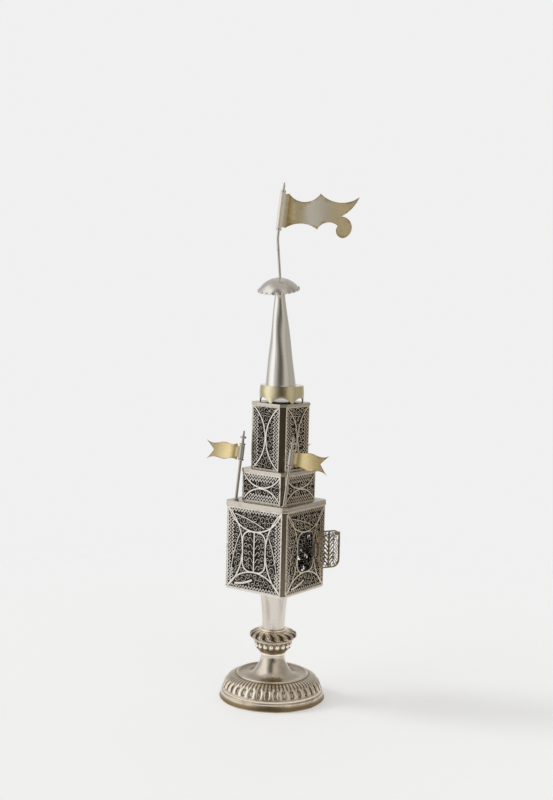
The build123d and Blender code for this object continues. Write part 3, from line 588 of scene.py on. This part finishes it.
class Bender:
    """Wire bent in the flat, with its face up at height 0."""

    def __init__(self, width, depth, at, heading, round_wire=False, level=0.0):
        self.bm = bmesh.new()
        self.at = Vector((*at, 0))
        self.heading = radians(heading)
        self.reach = width / 2
        self.trail = [self.at.copy()]
        across = Vector((-sin(self.heading), cos(self.heading), 0))
        ahead = Vector((cos(self.heading), sin(self.heading), 0))
        middle = self.at + UP * (level - depth / 2)
        turn = Matrix((across, UP, ahead)).transposed().to_4x4()
        size = Matrix.Diagonal((width, depth, 1, 1))
        place = Matrix.Translation(middle) @ turn @ size
        if round_wire:
            made = bmesh.ops.create_circle(self.bm, cap_ends=True, segments=4, radius=0.5, matrix=place)
        else:
            made = bmesh.ops.create_grid(self.bm, x_segments=1, y_segments=1, size=0.5, matrix=place)
        self.end = made["verts"][0].link_faces[0]
        self.round_wire = round_wire

    def straight(self, length):
        step = Vector((cos(self.heading), sin(self.heading), 0)) * length
        self.end = drawn_on(self.bm, self.end, step)
        self.trail += [self.at + step * share / 4 for share in (1, 2, 3, 4)]
        self.at = self.at + step
        return self

    def bend(self, radius, sweep, turn_per_step=30):
        """Round to the left for a sweep above 0, to the right below it, in degrees."""
        left = 1 if sweep > 0 else -1
        out = Vector((-sin(self.heading), cos(self.heading), 0)) * left
        centre = self.at + out * radius
        steps = max(2, ceil(abs(sweep) / turn_per_step))
        start, joined = self.end, is_joined(self.end)
        spun_on = bmesh.ops.spin(self.bm, geom=[start], cent=centre, axis=UP, angle=radians(sweep),
                                 steps=steps)
        self.end = end_face(spun_on["geom_last"])
        if joined and start.is_valid:
            self.bm.faces.remove(start)
        for step in range(1, steps + 1):
            arm = Matrix.Rotation(radians(sweep) * step / steps, 3, "Z") @ (self.at - centre)
            self.trail.append(centre + arm)
        self.at = self.trail[-1].copy()
        self.heading += radians(sweep)
        return self

    def cut(self):
        """The finished wire as a mesh, round wire smooth all over and flat wire crisp."""
        bmesh.ops.recalc_face_normals(self.bm, faces=self.bm.faces)
        keep_sharp(self.bm, 170 if self.round_wire else 40)
        return as_mesh("wire", self.bm)


def bow(start, middle, end, width, depth, level=0.0):
    """A flat rib bent in one arc through three points."""
    a, m, b = (Vector(p) for p in (start, middle, end))
    left = (m - a).cross(b - m) > 0
    half_chord = (b - a).length / 2
    bulge = abs((m - a).cross((b - a).normalized()))
    radius = (half_chord**2 + bulge**2) / (2 * bulge)
    sweep = 2 * atan2(half_chord, radius - bulge)
    chord = atan2(b.y - a.y, b.x - a.x)
    heading = chord - sweep / 2 if left else chord + sweep / 2
    rib = Bender(width, depth, a, degrees(heading), level=level)
    return rib.bend(radius, degrees(sweep) * (1 if left else -1), 6)


print("wire bender ready")

# %% [markdown]
# A panel is laid out flat on the bench: first the frame and the bowed ribs, then zigzag wire along the frame,
# then scrolls. The scrolls are packed by clearance, the largest first and each as close to its neighbours as
# it fits, which is how a filigree maker fills a cell. A net behind them, painted near black as shade, closes
# the view inside.


# %% Panel bench
class Panel:
    """Wire parts collected flat, with a record of the room that they take and a mask of their shine and of the
    shade painted into their depths.
    """

    def __init__(self, half_width, half_height):
        self.half = (half_width, half_height)
        self.bm = bmesh.new()
        self.mask = hollow_layer(self.bm)
        self.taken = []

    def lay(self, mesh, place=None, shine=0.0):
        """Add a wire. With a shine above 0 its top is rubbed bright, with one below 0 it is dulled.

        The mask grows with the depth, partly as tarnish and partly as painted shade. Deep down, on the net's
        inner side, noise leaves some spots unshaded.
        """
        if place is not None:
            mesh = mesh.copy()
            mesh.transform(place)
            if place.determinant() < 0:
                mesh.flip_normals()
        first = len(self.bm.verts)
        self.bm.from_mesh(mesh)
        self.bm.verts.ensure_lookup_table()
        for vert in self.bm.verts[first:]:
            depth = -vert.co.z
            if shine:
                vert[self.mask] = -shine + (shine + 0.6) * unit((depth - 0.2) / 0.6)
            else:
                # Deeper wire darkens: partly tarnish, partly painted shade for the unlit inside of the box
                vert[self.mask] = unit((depth - 0.3) / 0.35)
                if depth > 0.8 and noise.noise((0.8 * vert.co.x, 0.8 * vert.co.y, 7.0)) > 0.08:
                    vert[self.mask] = 0.0

    def rib(self, wire, shine=1.0):
        self.taken += [(p.x, p.y, wire.reach) for p in wire.trail]
        for a, b in zip(wire.trail, wire.trail[1:]):
            steps = ceil((b - a).length / 0.5)
            between = [a.lerp(b, step / steps) for step in range(1, steps)]
            self.taken += [(p.x, p.y, wire.reach) for p in between]
        self.lay(wire.cut(), None, shine)

    def shade_net(self, keep_out=None, pitch=0.9, bar=0.31, level=-0.62, thickness=0.22):
        """A net behind the wires: a grid, torn here and there, whose cells are inset and opened."""
        bm = bmesh.new()
        width, height = 2 * self.half[0] - 0.6, 2 * self.half[1] - 0.6
        size = Matrix.Translation((0, 0, level)) @ Matrix.Diagonal((width, height, 1, 1))
        counts = (round(width / pitch), round(height / pitch))
        bmesh.ops.create_grid(bm, x_segments=counts[0], y_segments=counts[1], size=0.5, matrix=size)
        gone = []
        for face in bm.faces:
            middle = face.calc_center_median()
            torn = noise.noise((0.5 * middle.x, 0.5 * middle.y, 3.0)) > 0.4
            if torn or (keep_out and keep_out(*middle.xy)):
                gone.append(face)
        bmesh.ops.delete(bm, geom=gone, context="FACES")
        cells = bm.faces[:]
        bmesh.ops.inset_individual(bm, faces=cells, thickness=bar, use_even_offset=True)
        bmesh.ops.delete(bm, geom=cells, context="FACES")
        bmesh.ops.solidify(bm, geom=bm.faces[:], thickness=thickness)
        bmesh.ops.recalc_face_normals(bm, faces=bm.faces)
        # Laid at depth, the net takes the near-black deep colour: painted shade for the dark inside of the box
        self.lay(as_mesh("shade_net", bm))

    def clearance(self, pitch):
        across = np.arange(-self.half[0], self.half[0] + pitch, pitch)
        up = np.arange(-self.half[1], self.half[1] + pitch, pitch)
        spots = np.array([(u, v) for v in up for u in across])
        room = np.minimum(self.half[0] - np.abs(spots[:, 0]), self.half[1] - np.abs(spots[:, 1]))
        for u, v, reach in self.taken:
            room = np.minimum(room, np.hypot(spots[:, 0] - u, spots[:, 1] - v) - reach)
        return spots, room

    def pack(self, scrolls, pitch=0.3, keep_out=None):
        """Lay scrolls of each size wherever they fit, the tightest fit first."""
        spots, room = self.clearance(pitch)
        if keep_out:
            room = np.where([keep_out(u, v) for u, v in spots], -1.0, room)
        count = 0
        for radius, mesh in scrolls:
            while True:
                fits = np.where(room >= radius, room, np.inf)
                best = int(np.argmin(fits))
                if not np.isfinite(fits[best]):
                    break
                u, v = spots[best]
                mirror = Matrix.Diagonal((1 if u >= 0 else -1, 1, 1, 1))
                lean = Matrix.Rotation(count * 2.4, 4, "Z")
                self.lay(mesh, Matrix.Translation((u, v, 0)) @ lean @ mirror)
                room = np.minimum(room, np.hypot(spots[:, 0] - u, spots[:, 1] - v) - radius)
                count += 1
        return count

    def hatch(self, start, along, count):
        """A row of zigzag teeth, kept only where they clear the ribs."""
        taken = np.array(self.taken)
        across = Vector((-along.y, along.x))
        angle = Matrix.Rotation(atan2(along.y, along.x), 4, "Z")
        for step in range(count):
            spot = start + along * tooth_pitch * (step + 0.5)
            middle = spot + across * tooth_length / 2
            gap = np.min(np.hypot(taken[:, 0] - middle.x, taken[:, 1] - middle.y) - taken[:, 2])
            if gap > tooth_length / 2 - 0.45:
                self.lay(teeth[step % 2], Matrix.Translation((spot.x, spot.y, 0)) @ angle)
                self.taken.append((middle.x, middle.y, tooth_length / 2))

    def to_wall(self, place):
        """A copy of the panel carried to its place in the tower."""
        bm = self.bm.copy()
        bmesh.ops.transform(bm, matrix=place, verts=bm.verts)
        return bm


def wall_place(angle, side_length, middle_z):
    outward = Vector((cos(radians(angle)), sin(radians(angle)), 0))
    across = Vector((-outward.y, outward.x, 0))
    turn = Matrix((across, UP, outward)).transposed().to_4x4()
    return Matrix.Translation(outward * side_length / 2 + UP * middle_z) @ turn


print("panel bench ready")

# %% [markdown]
# The scrolls come in a few sizes, as from one set of pliers: a ring that winds into a curl, down to small
# plain rings. A fern leaf is one bowed stalk that ends in a curl. The zigzag is made of two slanting teeth in
# turn.

# %% Scrolls, ferns and teeth
wire = 0.38
fill_level = -0.12


def scroll(radius, curl):
    bent = Bender(wire, wire, (radius - wire / 2, 0), 90, True, fill_level)
    bent.bend(radius - wire / 2, 300 if curl else 340, 36)
    if curl:
        bent.bend(curl, 230, 45)
    return bent.cut()


def fern(stalk, bow_sweep, curl, thick=0.44):
    bent = Bender(thick, thick, (0, 0), 30, True)
    return bent.bend(stalk, bow_sweep, 20).bend(curl, -250, 40)


def fern_rows(panel, shape, rows, first, pitch, room, depth, shine=0.0):
    """Pairs of fern leaves up the middle bar of a panel, one of each pair mirrored."""
    for row in range(rows):
        stalk = fern(*shape)
        foot = first + row * pitch
        mesh = stalk.cut()
        for sign in (-1, 1):
            panel.taken += [(sign * p.x, p.y + foot, room) for p in stalk.trail]
            panel.lay(mesh, Matrix.Translation((0, foot, -depth)) @ Matrix.Diagonal((sign, 1, 1, 1)), shine)


def scroll_set(*sizes):
    """Scrolls with the room that each takes, the largest first."""
    return [(room, scroll(radius, curl)) for room, radius, curl in sizes]


tooth_pitch, tooth_length = 0.85, 1.6
tooth_run = hypot(tooth_length, tooth_pitch)
slant = degrees(atan2(tooth_length, tooth_pitch))
teeth = []
for start, heading in ((-tooth_pitch / 2, slant), (tooth_pitch / 2, 180 - slant)):
    tooth = Bender(0.34, 0.3, (start, 0), heading, level=fill_level)
    teeth.append(tooth.straight(tooth_run).cut())
fill_scrolls = scroll_set((1.7, 1.66, 0.66), (1.25, 1.22, 0.42), (0.95, 0.92, 0), (0.74, 0.71, 0))
print("scroll sizes:", [room for room, _ in fill_scrolls])


# %% Frames and zigzag rows
frame_shine = -0.3
row_pitch = tooth_length + 0.1


def frame_bars(panel, bar):
    """Four flat bars round the panel's edge."""
    u, v = panel.half
    for sign in (-1, 1):
        panel.rib(Bender(bar, 0.9, (-u, sign * (v - bar / 2)), 0).straight(2 * u), frame_shine)
        panel.rib(Bender(bar, 0.84, (sign * (u - bar / 2), -v), 90, level=-0.03).straight(2 * v), frame_shine)


def edge_hatch(panel, bar, rows, columns):
    """Rows of zigzag along the top and bottom bars, columns along the side bars."""
    u, v = panel.half[0] - bar, panel.half[1] - bar
    across_count, up_count = int(2 * u / tooth_pitch), int(2 * v / tooth_pitch)
    for row in range(rows):
        for sign in (1, -1):
            panel.hatch(sign * Vector((u, v - row * row_pitch)), Vector((-sign, 0)), across_count)
    for column in range(columns):
        for sign in (1, -1):
            panel.hatch(sign * Vector((u - column * row_pitch, -v)), Vector((0, sign)), up_count)


print("zigzag pitch in mm:", tooth_pitch)

# %% [markdown]
# The lower box has the richest walls. Four bowed ribs run from corner to corner and touch an oval medallion,
# which hangs a little below the middle. A bar with fern leaves divides the medallion, and the lens-shaped
# cells have loose ribs of their own. The wall with the door has the same ribs round an open medallion.


# %% Lower box panels
medallion_drop, medallion_round = 0.8, 4.3
box_side, mid_side, upper_side = 35.6, 26.7, 21.8
box_mid_z, mid_mid_z, upper_mid_z = 75.55, 104.95, 128.95
box_bar, tier_bar = 0.75, 0.7


def oval_bend(half_width, half_height, corner, width, drop):
    """A closed rib round an upright oval with round corners."""
    flat, tall = 2 * (half_width - corner), 2 * (half_height - corner)
    bent = Bender(width, 0.86, (half_width, -tall / 2 - drop), 90, level=-0.02)
    for run in (tall, flat, tall, flat):
        bent.straight(run).bend(corner, 90, 15)
    return bent


def inside_oval(u, v, half_width, half_height, corner):
    return hypot(max(abs(u) - half_width + corner, 0), max(abs(v) - half_height + corner, 0)) < corner


def in_door_opening(u, v):
    return inside_oval(u, v + medallion_drop, 6.4, 9.5, 4.0)


def near_door_opening(u, v):
    return inside_oval(u, v + medallion_drop, 7.0, 10.1, 4.6)


def lower_panel(open_door):
    panel = Panel(16.0, 19.95)
    frame_bars(panel, box_bar)
    u, v, near_u, near_v = 15.55, 19.5, 6.7, 9.8
    for sign in (-1, 1):
        panel.rib(bow((-u, sign * v), (0, sign * near_v - medallion_drop), (u, sign * v), 0.66, 0.78, -0.06))
        panel.rib(bow((sign * u, -v), (sign * near_u, -medallion_drop), (sign * u, v), 0.66, 0.72, -0.09))
        panel.rib(bow((sign * 8.4, 7.5), (sign * 12.3, -4.0), (sign * 13.9, -17.2), 0.4, 0.6, -0.14), 0.6)
    panel.rib(oval_bend(near_u, near_v, medallion_round, 0.68, medallion_drop))
    panel.rib(bow((-11.6, 16.6), (-2.8, 14.4), (5.8, 11.2), 0.42, 0.6, -0.14), 0.8)
    panel.rib(bow((-11.2, -17.3), (-5.6, -16.4), (-0.8, -14.4), 0.95, 0.6, -0.14))
    if not open_door:
        panel.rib(Bender(0.6, 0.7, (0, -near_v - medallion_drop), 90, level=-0.12).straight(2 * near_v))
        fern_rows(panel, (3.4, 40, 0.95), 5, -8.8 - medallion_drop, 3.3, room=0.35, depth=0.05, shine=0.8)
    edge_hatch(panel, box_bar, rows=1, columns=2)
    count = panel.pack(fill_scrolls, 0.3, in_door_opening if open_door else None)
    panel.shade_net(near_door_opening if open_door else None)
    print("lower panel with", count, "scrolls")
    return panel


# The wire of the front and left walls, which face the light, then that of the door and rear walls, which face
# away: tones set side by side as painted light and shade
wires_by_light_side = {"box": (wire_silver, wire_tan), "mid": (wire_silver, wire_brown),
              "upper": (wire_dim, wire_brown)}


def hang(tier, wall, panel, place):
    bm = panel.to_wall(place)
    finish = wires_by_light_side[tier][wall in ("door", "rear")]
    piece(f"{tier}_filigree_{wall}", bm, finish, [f"{tier}_panel_{wall}"], sharp=None)


closed_panel = lower_panel(open_door=False)
open_panel = lower_panel(open_door=True)
walls = {"front": -90, "door": 0, "rear": 90, "left": 180}
for wall, angle in walls.items():
    laid = open_panel if wall == "door" else closed_panel
    hang("box", wall, laid, wall_place(angle, box_side, box_mid_z))


# %% Middle and upper tiers
def crossed_panel(half_width, half_height, upright, rows, columns):
    """Frame, two ribs bowed back to back, zigzag rows and scrolls."""
    panel = Panel(half_width, half_height)
    frame_bars(panel, tier_bar)
    u, v = half_width - 0.45, half_height - 0.45
    for sign in (-1, 1):
        level = -0.075 + 0.015 * sign
        if upright:
            panel.rib(bow((sign * u, -v), (sign * 0.25, 0), (sign * u, v), 0.62, 0.75, level))
        else:
            panel.rib(bow((-u, sign * v), (0, sign * 0.25), (u, sign * v), 0.62, 0.75, level))
    edge_hatch(panel, tier_bar, rows, columns)
    count = panel.pack(fill_scrolls, 0.25)
    panel.shade_net()
    print("panel of", round(2 * half_width, 1), "by", round(2 * half_height, 1), "with", count, "scrolls")
    return panel


mid_panel = crossed_panel(11.6, 6.95, upright=False, rows=2, columns=0)
upper_panel = crossed_panel(8.5, 15.45, upright=True, rows=0, columns=2)
box_stand, mid_stand, upper_stand = off_axis(0.0), off_axis(0.86, -3.0), off_axis(0.96, -5.0)
for wall, angle in walls.items():
    hang("mid", wall, mid_panel, mid_stand @ wall_place(angle, mid_side, mid_mid_z))
    hang("upper", wall, upper_panel, upper_stand @ wall_place(angle, upper_side, upper_mid_z))

# %% [markdown]
# The roofs are low slabs with a drip edge, a groove and a flat top, and their corners are cut off like the
# tiers'. Each starts as one face with eight corners that is extruded level by level and drawn in or out. The
# rims at the foot and the top are bevelled a little so that they catch the light.


# %% Roofs
def cut_face(bm, side_length, cut, z):
    """One face, a square with its corners cut off."""
    half = side_length / 2
    near = half - cut
    spots = [(half, -near), (half, near), (near, half), (-near, half), (-half, near), (-half, -near),
             (-near, -half), (near, -half)]
    return bm.faces.new([bm.verts.new((x, y, z)) for x, y in spots])


eaves_reach, slab_height = 0.6, 0.7


def roof(tier, side_length, cut, foot, height, stand):
    bm = bmesh.new()
    width = side_length + eaves_reach
    top = cut_face(bm, width, cut, foot)
    eaves = (height - slab_height) / 2
    # How far each level climbs, and by how much it grows wider
    levels = [(eaves - 0.1, 0.0), (0.2, -0.14), (eaves - 0.2, -0.04), (0.1, 0.05), (slab_height, -0.1)]
    for climb, change in levels:
        top = drawn_on(bm, top, (0, 0, climb))
        share = (width + change) / width
        bmesh.ops.scale(bm, vec=(share, share, 1), verts=top.verts)
        width += change
    bmesh.ops.recalc_face_normals(bm, faces=bm.faces)
    rims = []
    for edge in bm.edges:
        low, high = sorted(vert.co.z for vert in edge.verts)
        if high - low < 1e-5 and edge.calc_face_angle(0.0) > 0.6:
            rims.append(edge)
    bmesh.ops.bevel(bm, geom=rims, offset=0.14, offset_type="OFFSET", affect="EDGES", segments=2, profile=0.5,
                    material=-1, clamp_overlap=True)
    bmesh.ops.transform(bm, matrix=stand, verts=bm.verts)
    piece(f"{tier}_moulded_roof", bm, roof_silver, [f"{tier}_roof"], sharp=40)


roof("box", box_side, cut=1.8, foot=95.5, height=2.5, stand=box_stand)
roof("mid", mid_side, cut=1.75, foot=111.9, height=1.6, stand=mid_stand)
roof("upper", upper_side, cut=2.4, foot=144.4, height=1.3, stand=upper_stand)

# %% [markdown]
# The collar is a gilt band on six arches, closed on top. The spire is a plain seamed cone, and the parasol a
# shallow dome with a scalloped edge. They are spun, and the arches and scallops are cut by sliding the lowest
# rows of vertices up or down with the angle. That keeps the rows even, where a boolean would leave slivers.

# %% Collar and spire
band_rows = 9
collar_foot, collar_top = 145.7, 153.9
band = []
for row in range(band_rows + 1):
    share = row / band_rows
    band.append((10.45 + 0.3 * sin(pi * share), collar_foot + (collar_top - collar_foot) * share))
collar = spun(walled(band + [(9.8, collar_top + 0.1), (1.2, collar_top + 0.1)], 0.6), 180)
layer = hollow_layer(collar)
arch_start, arch_reach, arch_rise, arch_pitch = radians(-55.0), radians(26.0), 2.5, radians(60.0)
for vert in collar.verts:
    radius, angle = polar(vert)
    # The inside of the band takes the near-black deep colour: painted shade under the arches
    shaded_inside = radius < 10.3 and vert.co.z < collar_top - 0.3
    vert[layer] = 1.0 if shaded_inside else 0.0
    turn = (angle - arch_start) % arch_pitch
    off = min(turn, arch_pitch - turn) / arch_reach
    rise = arch_rise * sqrt(max(1 - off**2, 0.0)) ** 1.3 if off < 1 else 0.0
    share = unit((collar_top - 0.7 - vert.co.z) / 7.5)
    vert.co.z = min(vert.co.z + rise * share, collar_top)
bmesh.ops.transform(collar, matrix=off_axis(1.2), verts=collar.verts)
piece("gilt_arched_collar", collar, gilt_collar, ["collar"], sharp=50)

cone_foot, cone_tip = 153.9, 204.8
cone_line = flowing([(7.35, cone_foot), (7.12, 155.6), (5.75, 168.0), (4.38, 180.0), (3.0, 192.0),
                     (1.5, cone_tip)], 5)
cone = spun(walled(cone_line, 0.4), 96)
layer = hollow_layer(cone)
for vert in cone.verts:
    radius, angle = polar(vert)
    seam = abs(angle - radians(-78))
    vert[layer] = 0.75 * max(1 - seam / 0.07, 0)
    climb = unit((vert.co.z - cone_foot) / (cone_tip - cone_foot))
    sway = 0.12 * sin(3 * angle + vert.co.z * 0.21) * sin(pi * climb)
    vert.co.x *= 1 + sway / radius
    vert.co.y *= 1 + sway / radius
    vert.co = off_axis(0.6 - 1.65 * climb) @ vert.co
piece("spire_seamed_cone", cone, spire_silver, ["spire_cone"], sharp=60)

# %% Parasol
dome_ball, dome_centre, dome_rim, scallops, scallop = 11.650, 193.751, 200.701, 24, 1.3
dome_line = []
for row in range(17):
    z = dome_centre + dome_ball - (dome_centre + dome_ball - dome_rim) * min(row / 12, 1) ** 2
    z -= max(row - 12, 0) / 4 * scallop
    dome_line.append((sqrt(max(dome_ball**2 - (z - dome_centre) ** 2, 0)), z))
dome = spun(walled(dome_line[::-1], 0.45), scallops * 10)
layer = hollow_layer(dome)
for vert in dome.verts:
    if vert.co.z < dome_rim:
        radius, angle = polar(vert)
        pitch = 2 * pi / scallops
        off = ((angle / pitch) % 1 - 0.5) * pitch * radius
        drop = 0.4 + 0.6 * sqrt(max(1 - (off / scallop) ** 2, 0))
        vert.co.z = dome_rim - (dome_rim - vert.co.z) * drop
        vert[layer] = 0.25
seat = Matrix.Translation((0, 0, dome_centre))
towards = Matrix.Rotation(radians(-76), 4, "Z")
tilt = towards @ Matrix.Rotation(radians(12.9), 4, "Y") @ towards.inverted()
askew = off_axis(-1.05) @ seat @ tilt @ seat.inverted()
bmesh.ops.transform(dome, matrix=askew, verts=dome.verts)
piece("spire_parasol", dome, parasol_silver, ["spire_dome"], sharp=60)

# %% [markdown]
# Poles, mast, hinge and rod keep the exact shape of their solids. Their meshes come as loose triangles, so
# each is copied, merged and shaded smooth. The flags start from such a copy too: their flat faces are joined
# up, sliced into strips, and then bent in a slow wave, as thin sheet that has been handled is never quite
# flat. The mask darkens the edges and the sheet beside the sleeve, and makes the pennant's middle pale.


# %% Exact copies
def copied(solid):
    bm = bmesh.new()
    bm.from_mesh(frame["nodes"][solid].data)
    bmesh.ops.scale(bm, vec=(1 / MM, 1 / MM, 1 / MM), verts=bm.verts)
    bmesh.ops.remove_doubles(bm, verts=bm.verts, dist=1e-3)
    return bm


poles = {f"flagpole_{corner}": f"pole_{corner}" for corner in ("front_left", "front_right", "rear_left")}
plain_copies = [
    (silver, "plain_silver", "tower", {"mast": "mast_wire", "mast_stop": "mast_lower_collar",
                                       "mast_finial": "mast_tip"}),
    (pole_grey, "plain_silver", "tower", {**poles, "flagpole_finials": "pole_tips"}),
    (hinge_wire, "hinge", "door", {"door_knuckle": "door_hinge_knuckle", "door_catch": "door_catch_knob"}),
    (hinge_wire, "hinge", "tower", {"door_lugs": "door_hinge_lugs", "door_pin": "door_hinge_pin"}),
    (rod_steel, "rod_steel", "tower", {"tie_rod": "clamp_rod", "foot_washer": "clamp_washer",
                                       "tie_rod_nuts": "clamp_nuts"}),
    (silver, "plain_silver", "tower", {"box_floor": "box_base_sheet"}),
]
for finish, slot, body, names in plain_copies:
    for solid, name in names.items():
        piece(name, copied(solid), finish, [solid], body, sharp=35)
for tier in ("box", "mid", "upper"):
    for corner in ("front_left", "front_right", "rear_left", "rear_right"):
        solid = f"{tier}_corner_{corner}"
        finish = strip_brown if tier == "box" else strip_dark
        piece(f"{tier}_strip_{corner}", copied(solid), finish, [solid], sharp=35)


# %% Flags
def waved_flag(name, solid, body, finish, axis_point, axis, heading, swing, wave, phase, pale):
    """A flag's copy, sliced both ways, waved to the sides of its sheet and made pale in its middle."""
    bm = copied(solid)
    bmesh.ops.dissolve_limit(bm, angle_limit=radians(1), verts=bm.verts, edges=bm.edges)
    lean = Vector(axis).normalized()
    ahead = Vector((cos(radians(heading)), sin(radians(heading)), 0))
    ahead = (ahead - lean * ahead.dot(lean)).normalized()
    normal = lean.cross(ahead)
    pivot = Vector(axis_point)
    reach = max((vert.co - pivot).dot(ahead) for vert in bm.verts)
    low, high = (pick((vert.co - pivot).dot(lean) for vert in bm.verts) for pick in (min, max))
    first, rows = 3, 9
    cuts = int((reach - first) / 0.8)
    slices = [(ahead, first + (reach - first) * (cut + 0.5) / cuts) for cut in range(cuts)]
    slices += [(lean, low + (high - low) * row / rows) for row in range(1, rows)]
    for along, out in slices:
        whole = [*bm.verts, *bm.edges, *bm.faces]
        bmesh.ops.bisect_plane(bm, geom=whole, plane_co=pivot + along * out, plane_no=along, dist=1e-4)
    layer = hollow_layer(bm)
    for edge in bm.edges:
        if edge.calc_face_angle(0.0) > 0.7:
            for vert in edge.verts:
                vert[layer] = 0.75
    for vert in bm.verts:
        out = (vert.co - pivot).dot(ahead)
        if out < 1.5:
            vert[layer] = -1.0
        elif vert[layer] == 0:
            hoist = 0.7 * unit((6.5 - out) / 3)
            patch = unit((out - 8) / 5) * unit((30 - out) / 12)
            vert[layer] = hoist - pale * patch
        share = unit((out - 2.2) / 5)
        height = (vert.co - pivot).dot(lean)
        vert.co += normal * swing * share * sin(2 * pi * (out / wave + phase) + 0.05 * height)
    piece(name, bm, finish, [solid], body, sharp=40)


joints = {joint["name"]: joint for joint in frame["joints"]}
# Piece and solid, then heading in degrees, swing and wave in millimetres, phase, and how pale the middle is
flag_pieces = {
    "main_flag": ("gilt_pennant", "main_flag", 35.0, -0.85, 30.0, 0.4, 0.8),
    "front_left_flag": ("gilt_flag_front_left", "flag_front_left", 195.0, 0.55, 22.0, 0.07, 0.0),
    "front_right_flag": ("gilt_flag_front_right", "flag_front_right", 20.0, 0.55, 22.0, 0.07, 0.0),
    "rear_left_flag": ("gilt_flag_rear_left", "flag_rear_left", 35.0, -0.4, 15.0, 0.0, 0.0),
}
for body, (name, solid, heading, swing, wave, phase, pale) in flag_pieces.items():
    joint = joints[f"{body}_turn"]
    pivot = [x / MM for x in joint["pos_m"]]
    finish = pennant_gilt if body == "main_flag" else gilt
    waved_flag(name, solid, body, finish, pivot, joint["axis"], heading, swing, wave, phase, pale)

# %% [markdown]
# The door is a leaf of open filigree: a flat rim, a bar down its middle and leaf scrolls on both sides, with
# nothing behind them. It is laid out shut, as a panel is, and then swung open about the hinge to its rest
# place.

# %% Door leaf
door_mid_z, door_swing = box_mid_z - medallion_drop, 155


def out_of_leaf(u, v):
    return not inside_oval(u, v, 5.3, 8.4, 2.9)


leaf = Panel(6.1, 9.2)
leaf.rib(oval_bend(5.75, 8.85, 3.3, 0.66, 0.0))
leaf.rib(Bender(0.7, 0.8, (0, -8.6), 90, level=-0.05).straight(17.2))
fern_rows(leaf, (2.9, 42, 0.85, 0.7), 7, -8.1, 2.15, room=0.3, depth=0.2)
leaf_scrolls = scroll_set((1.2, 1.18, 0.4), (0.8, 0.8, 0), (0.5, 0.52, 0))
leaf_count = leaf.pack(leaf_scrolls, 0.2, out_of_leaf)
hinge = Vector((18.65, 7.0, door_mid_z))
shut = wall_place(0, 35.9, door_mid_z)
swing = Matrix.Translation(hinge) @ Matrix.Rotation(radians(door_swing), 4, "Z") @ Matrix.Translation(-hinge)
piece("door_filigree_leaf", leaf.to_wall(swing @ shut), door_wire, ["door_leaf"], "door",
      sharp=None)
print("door leaf with", leaf_count, "scrolls")
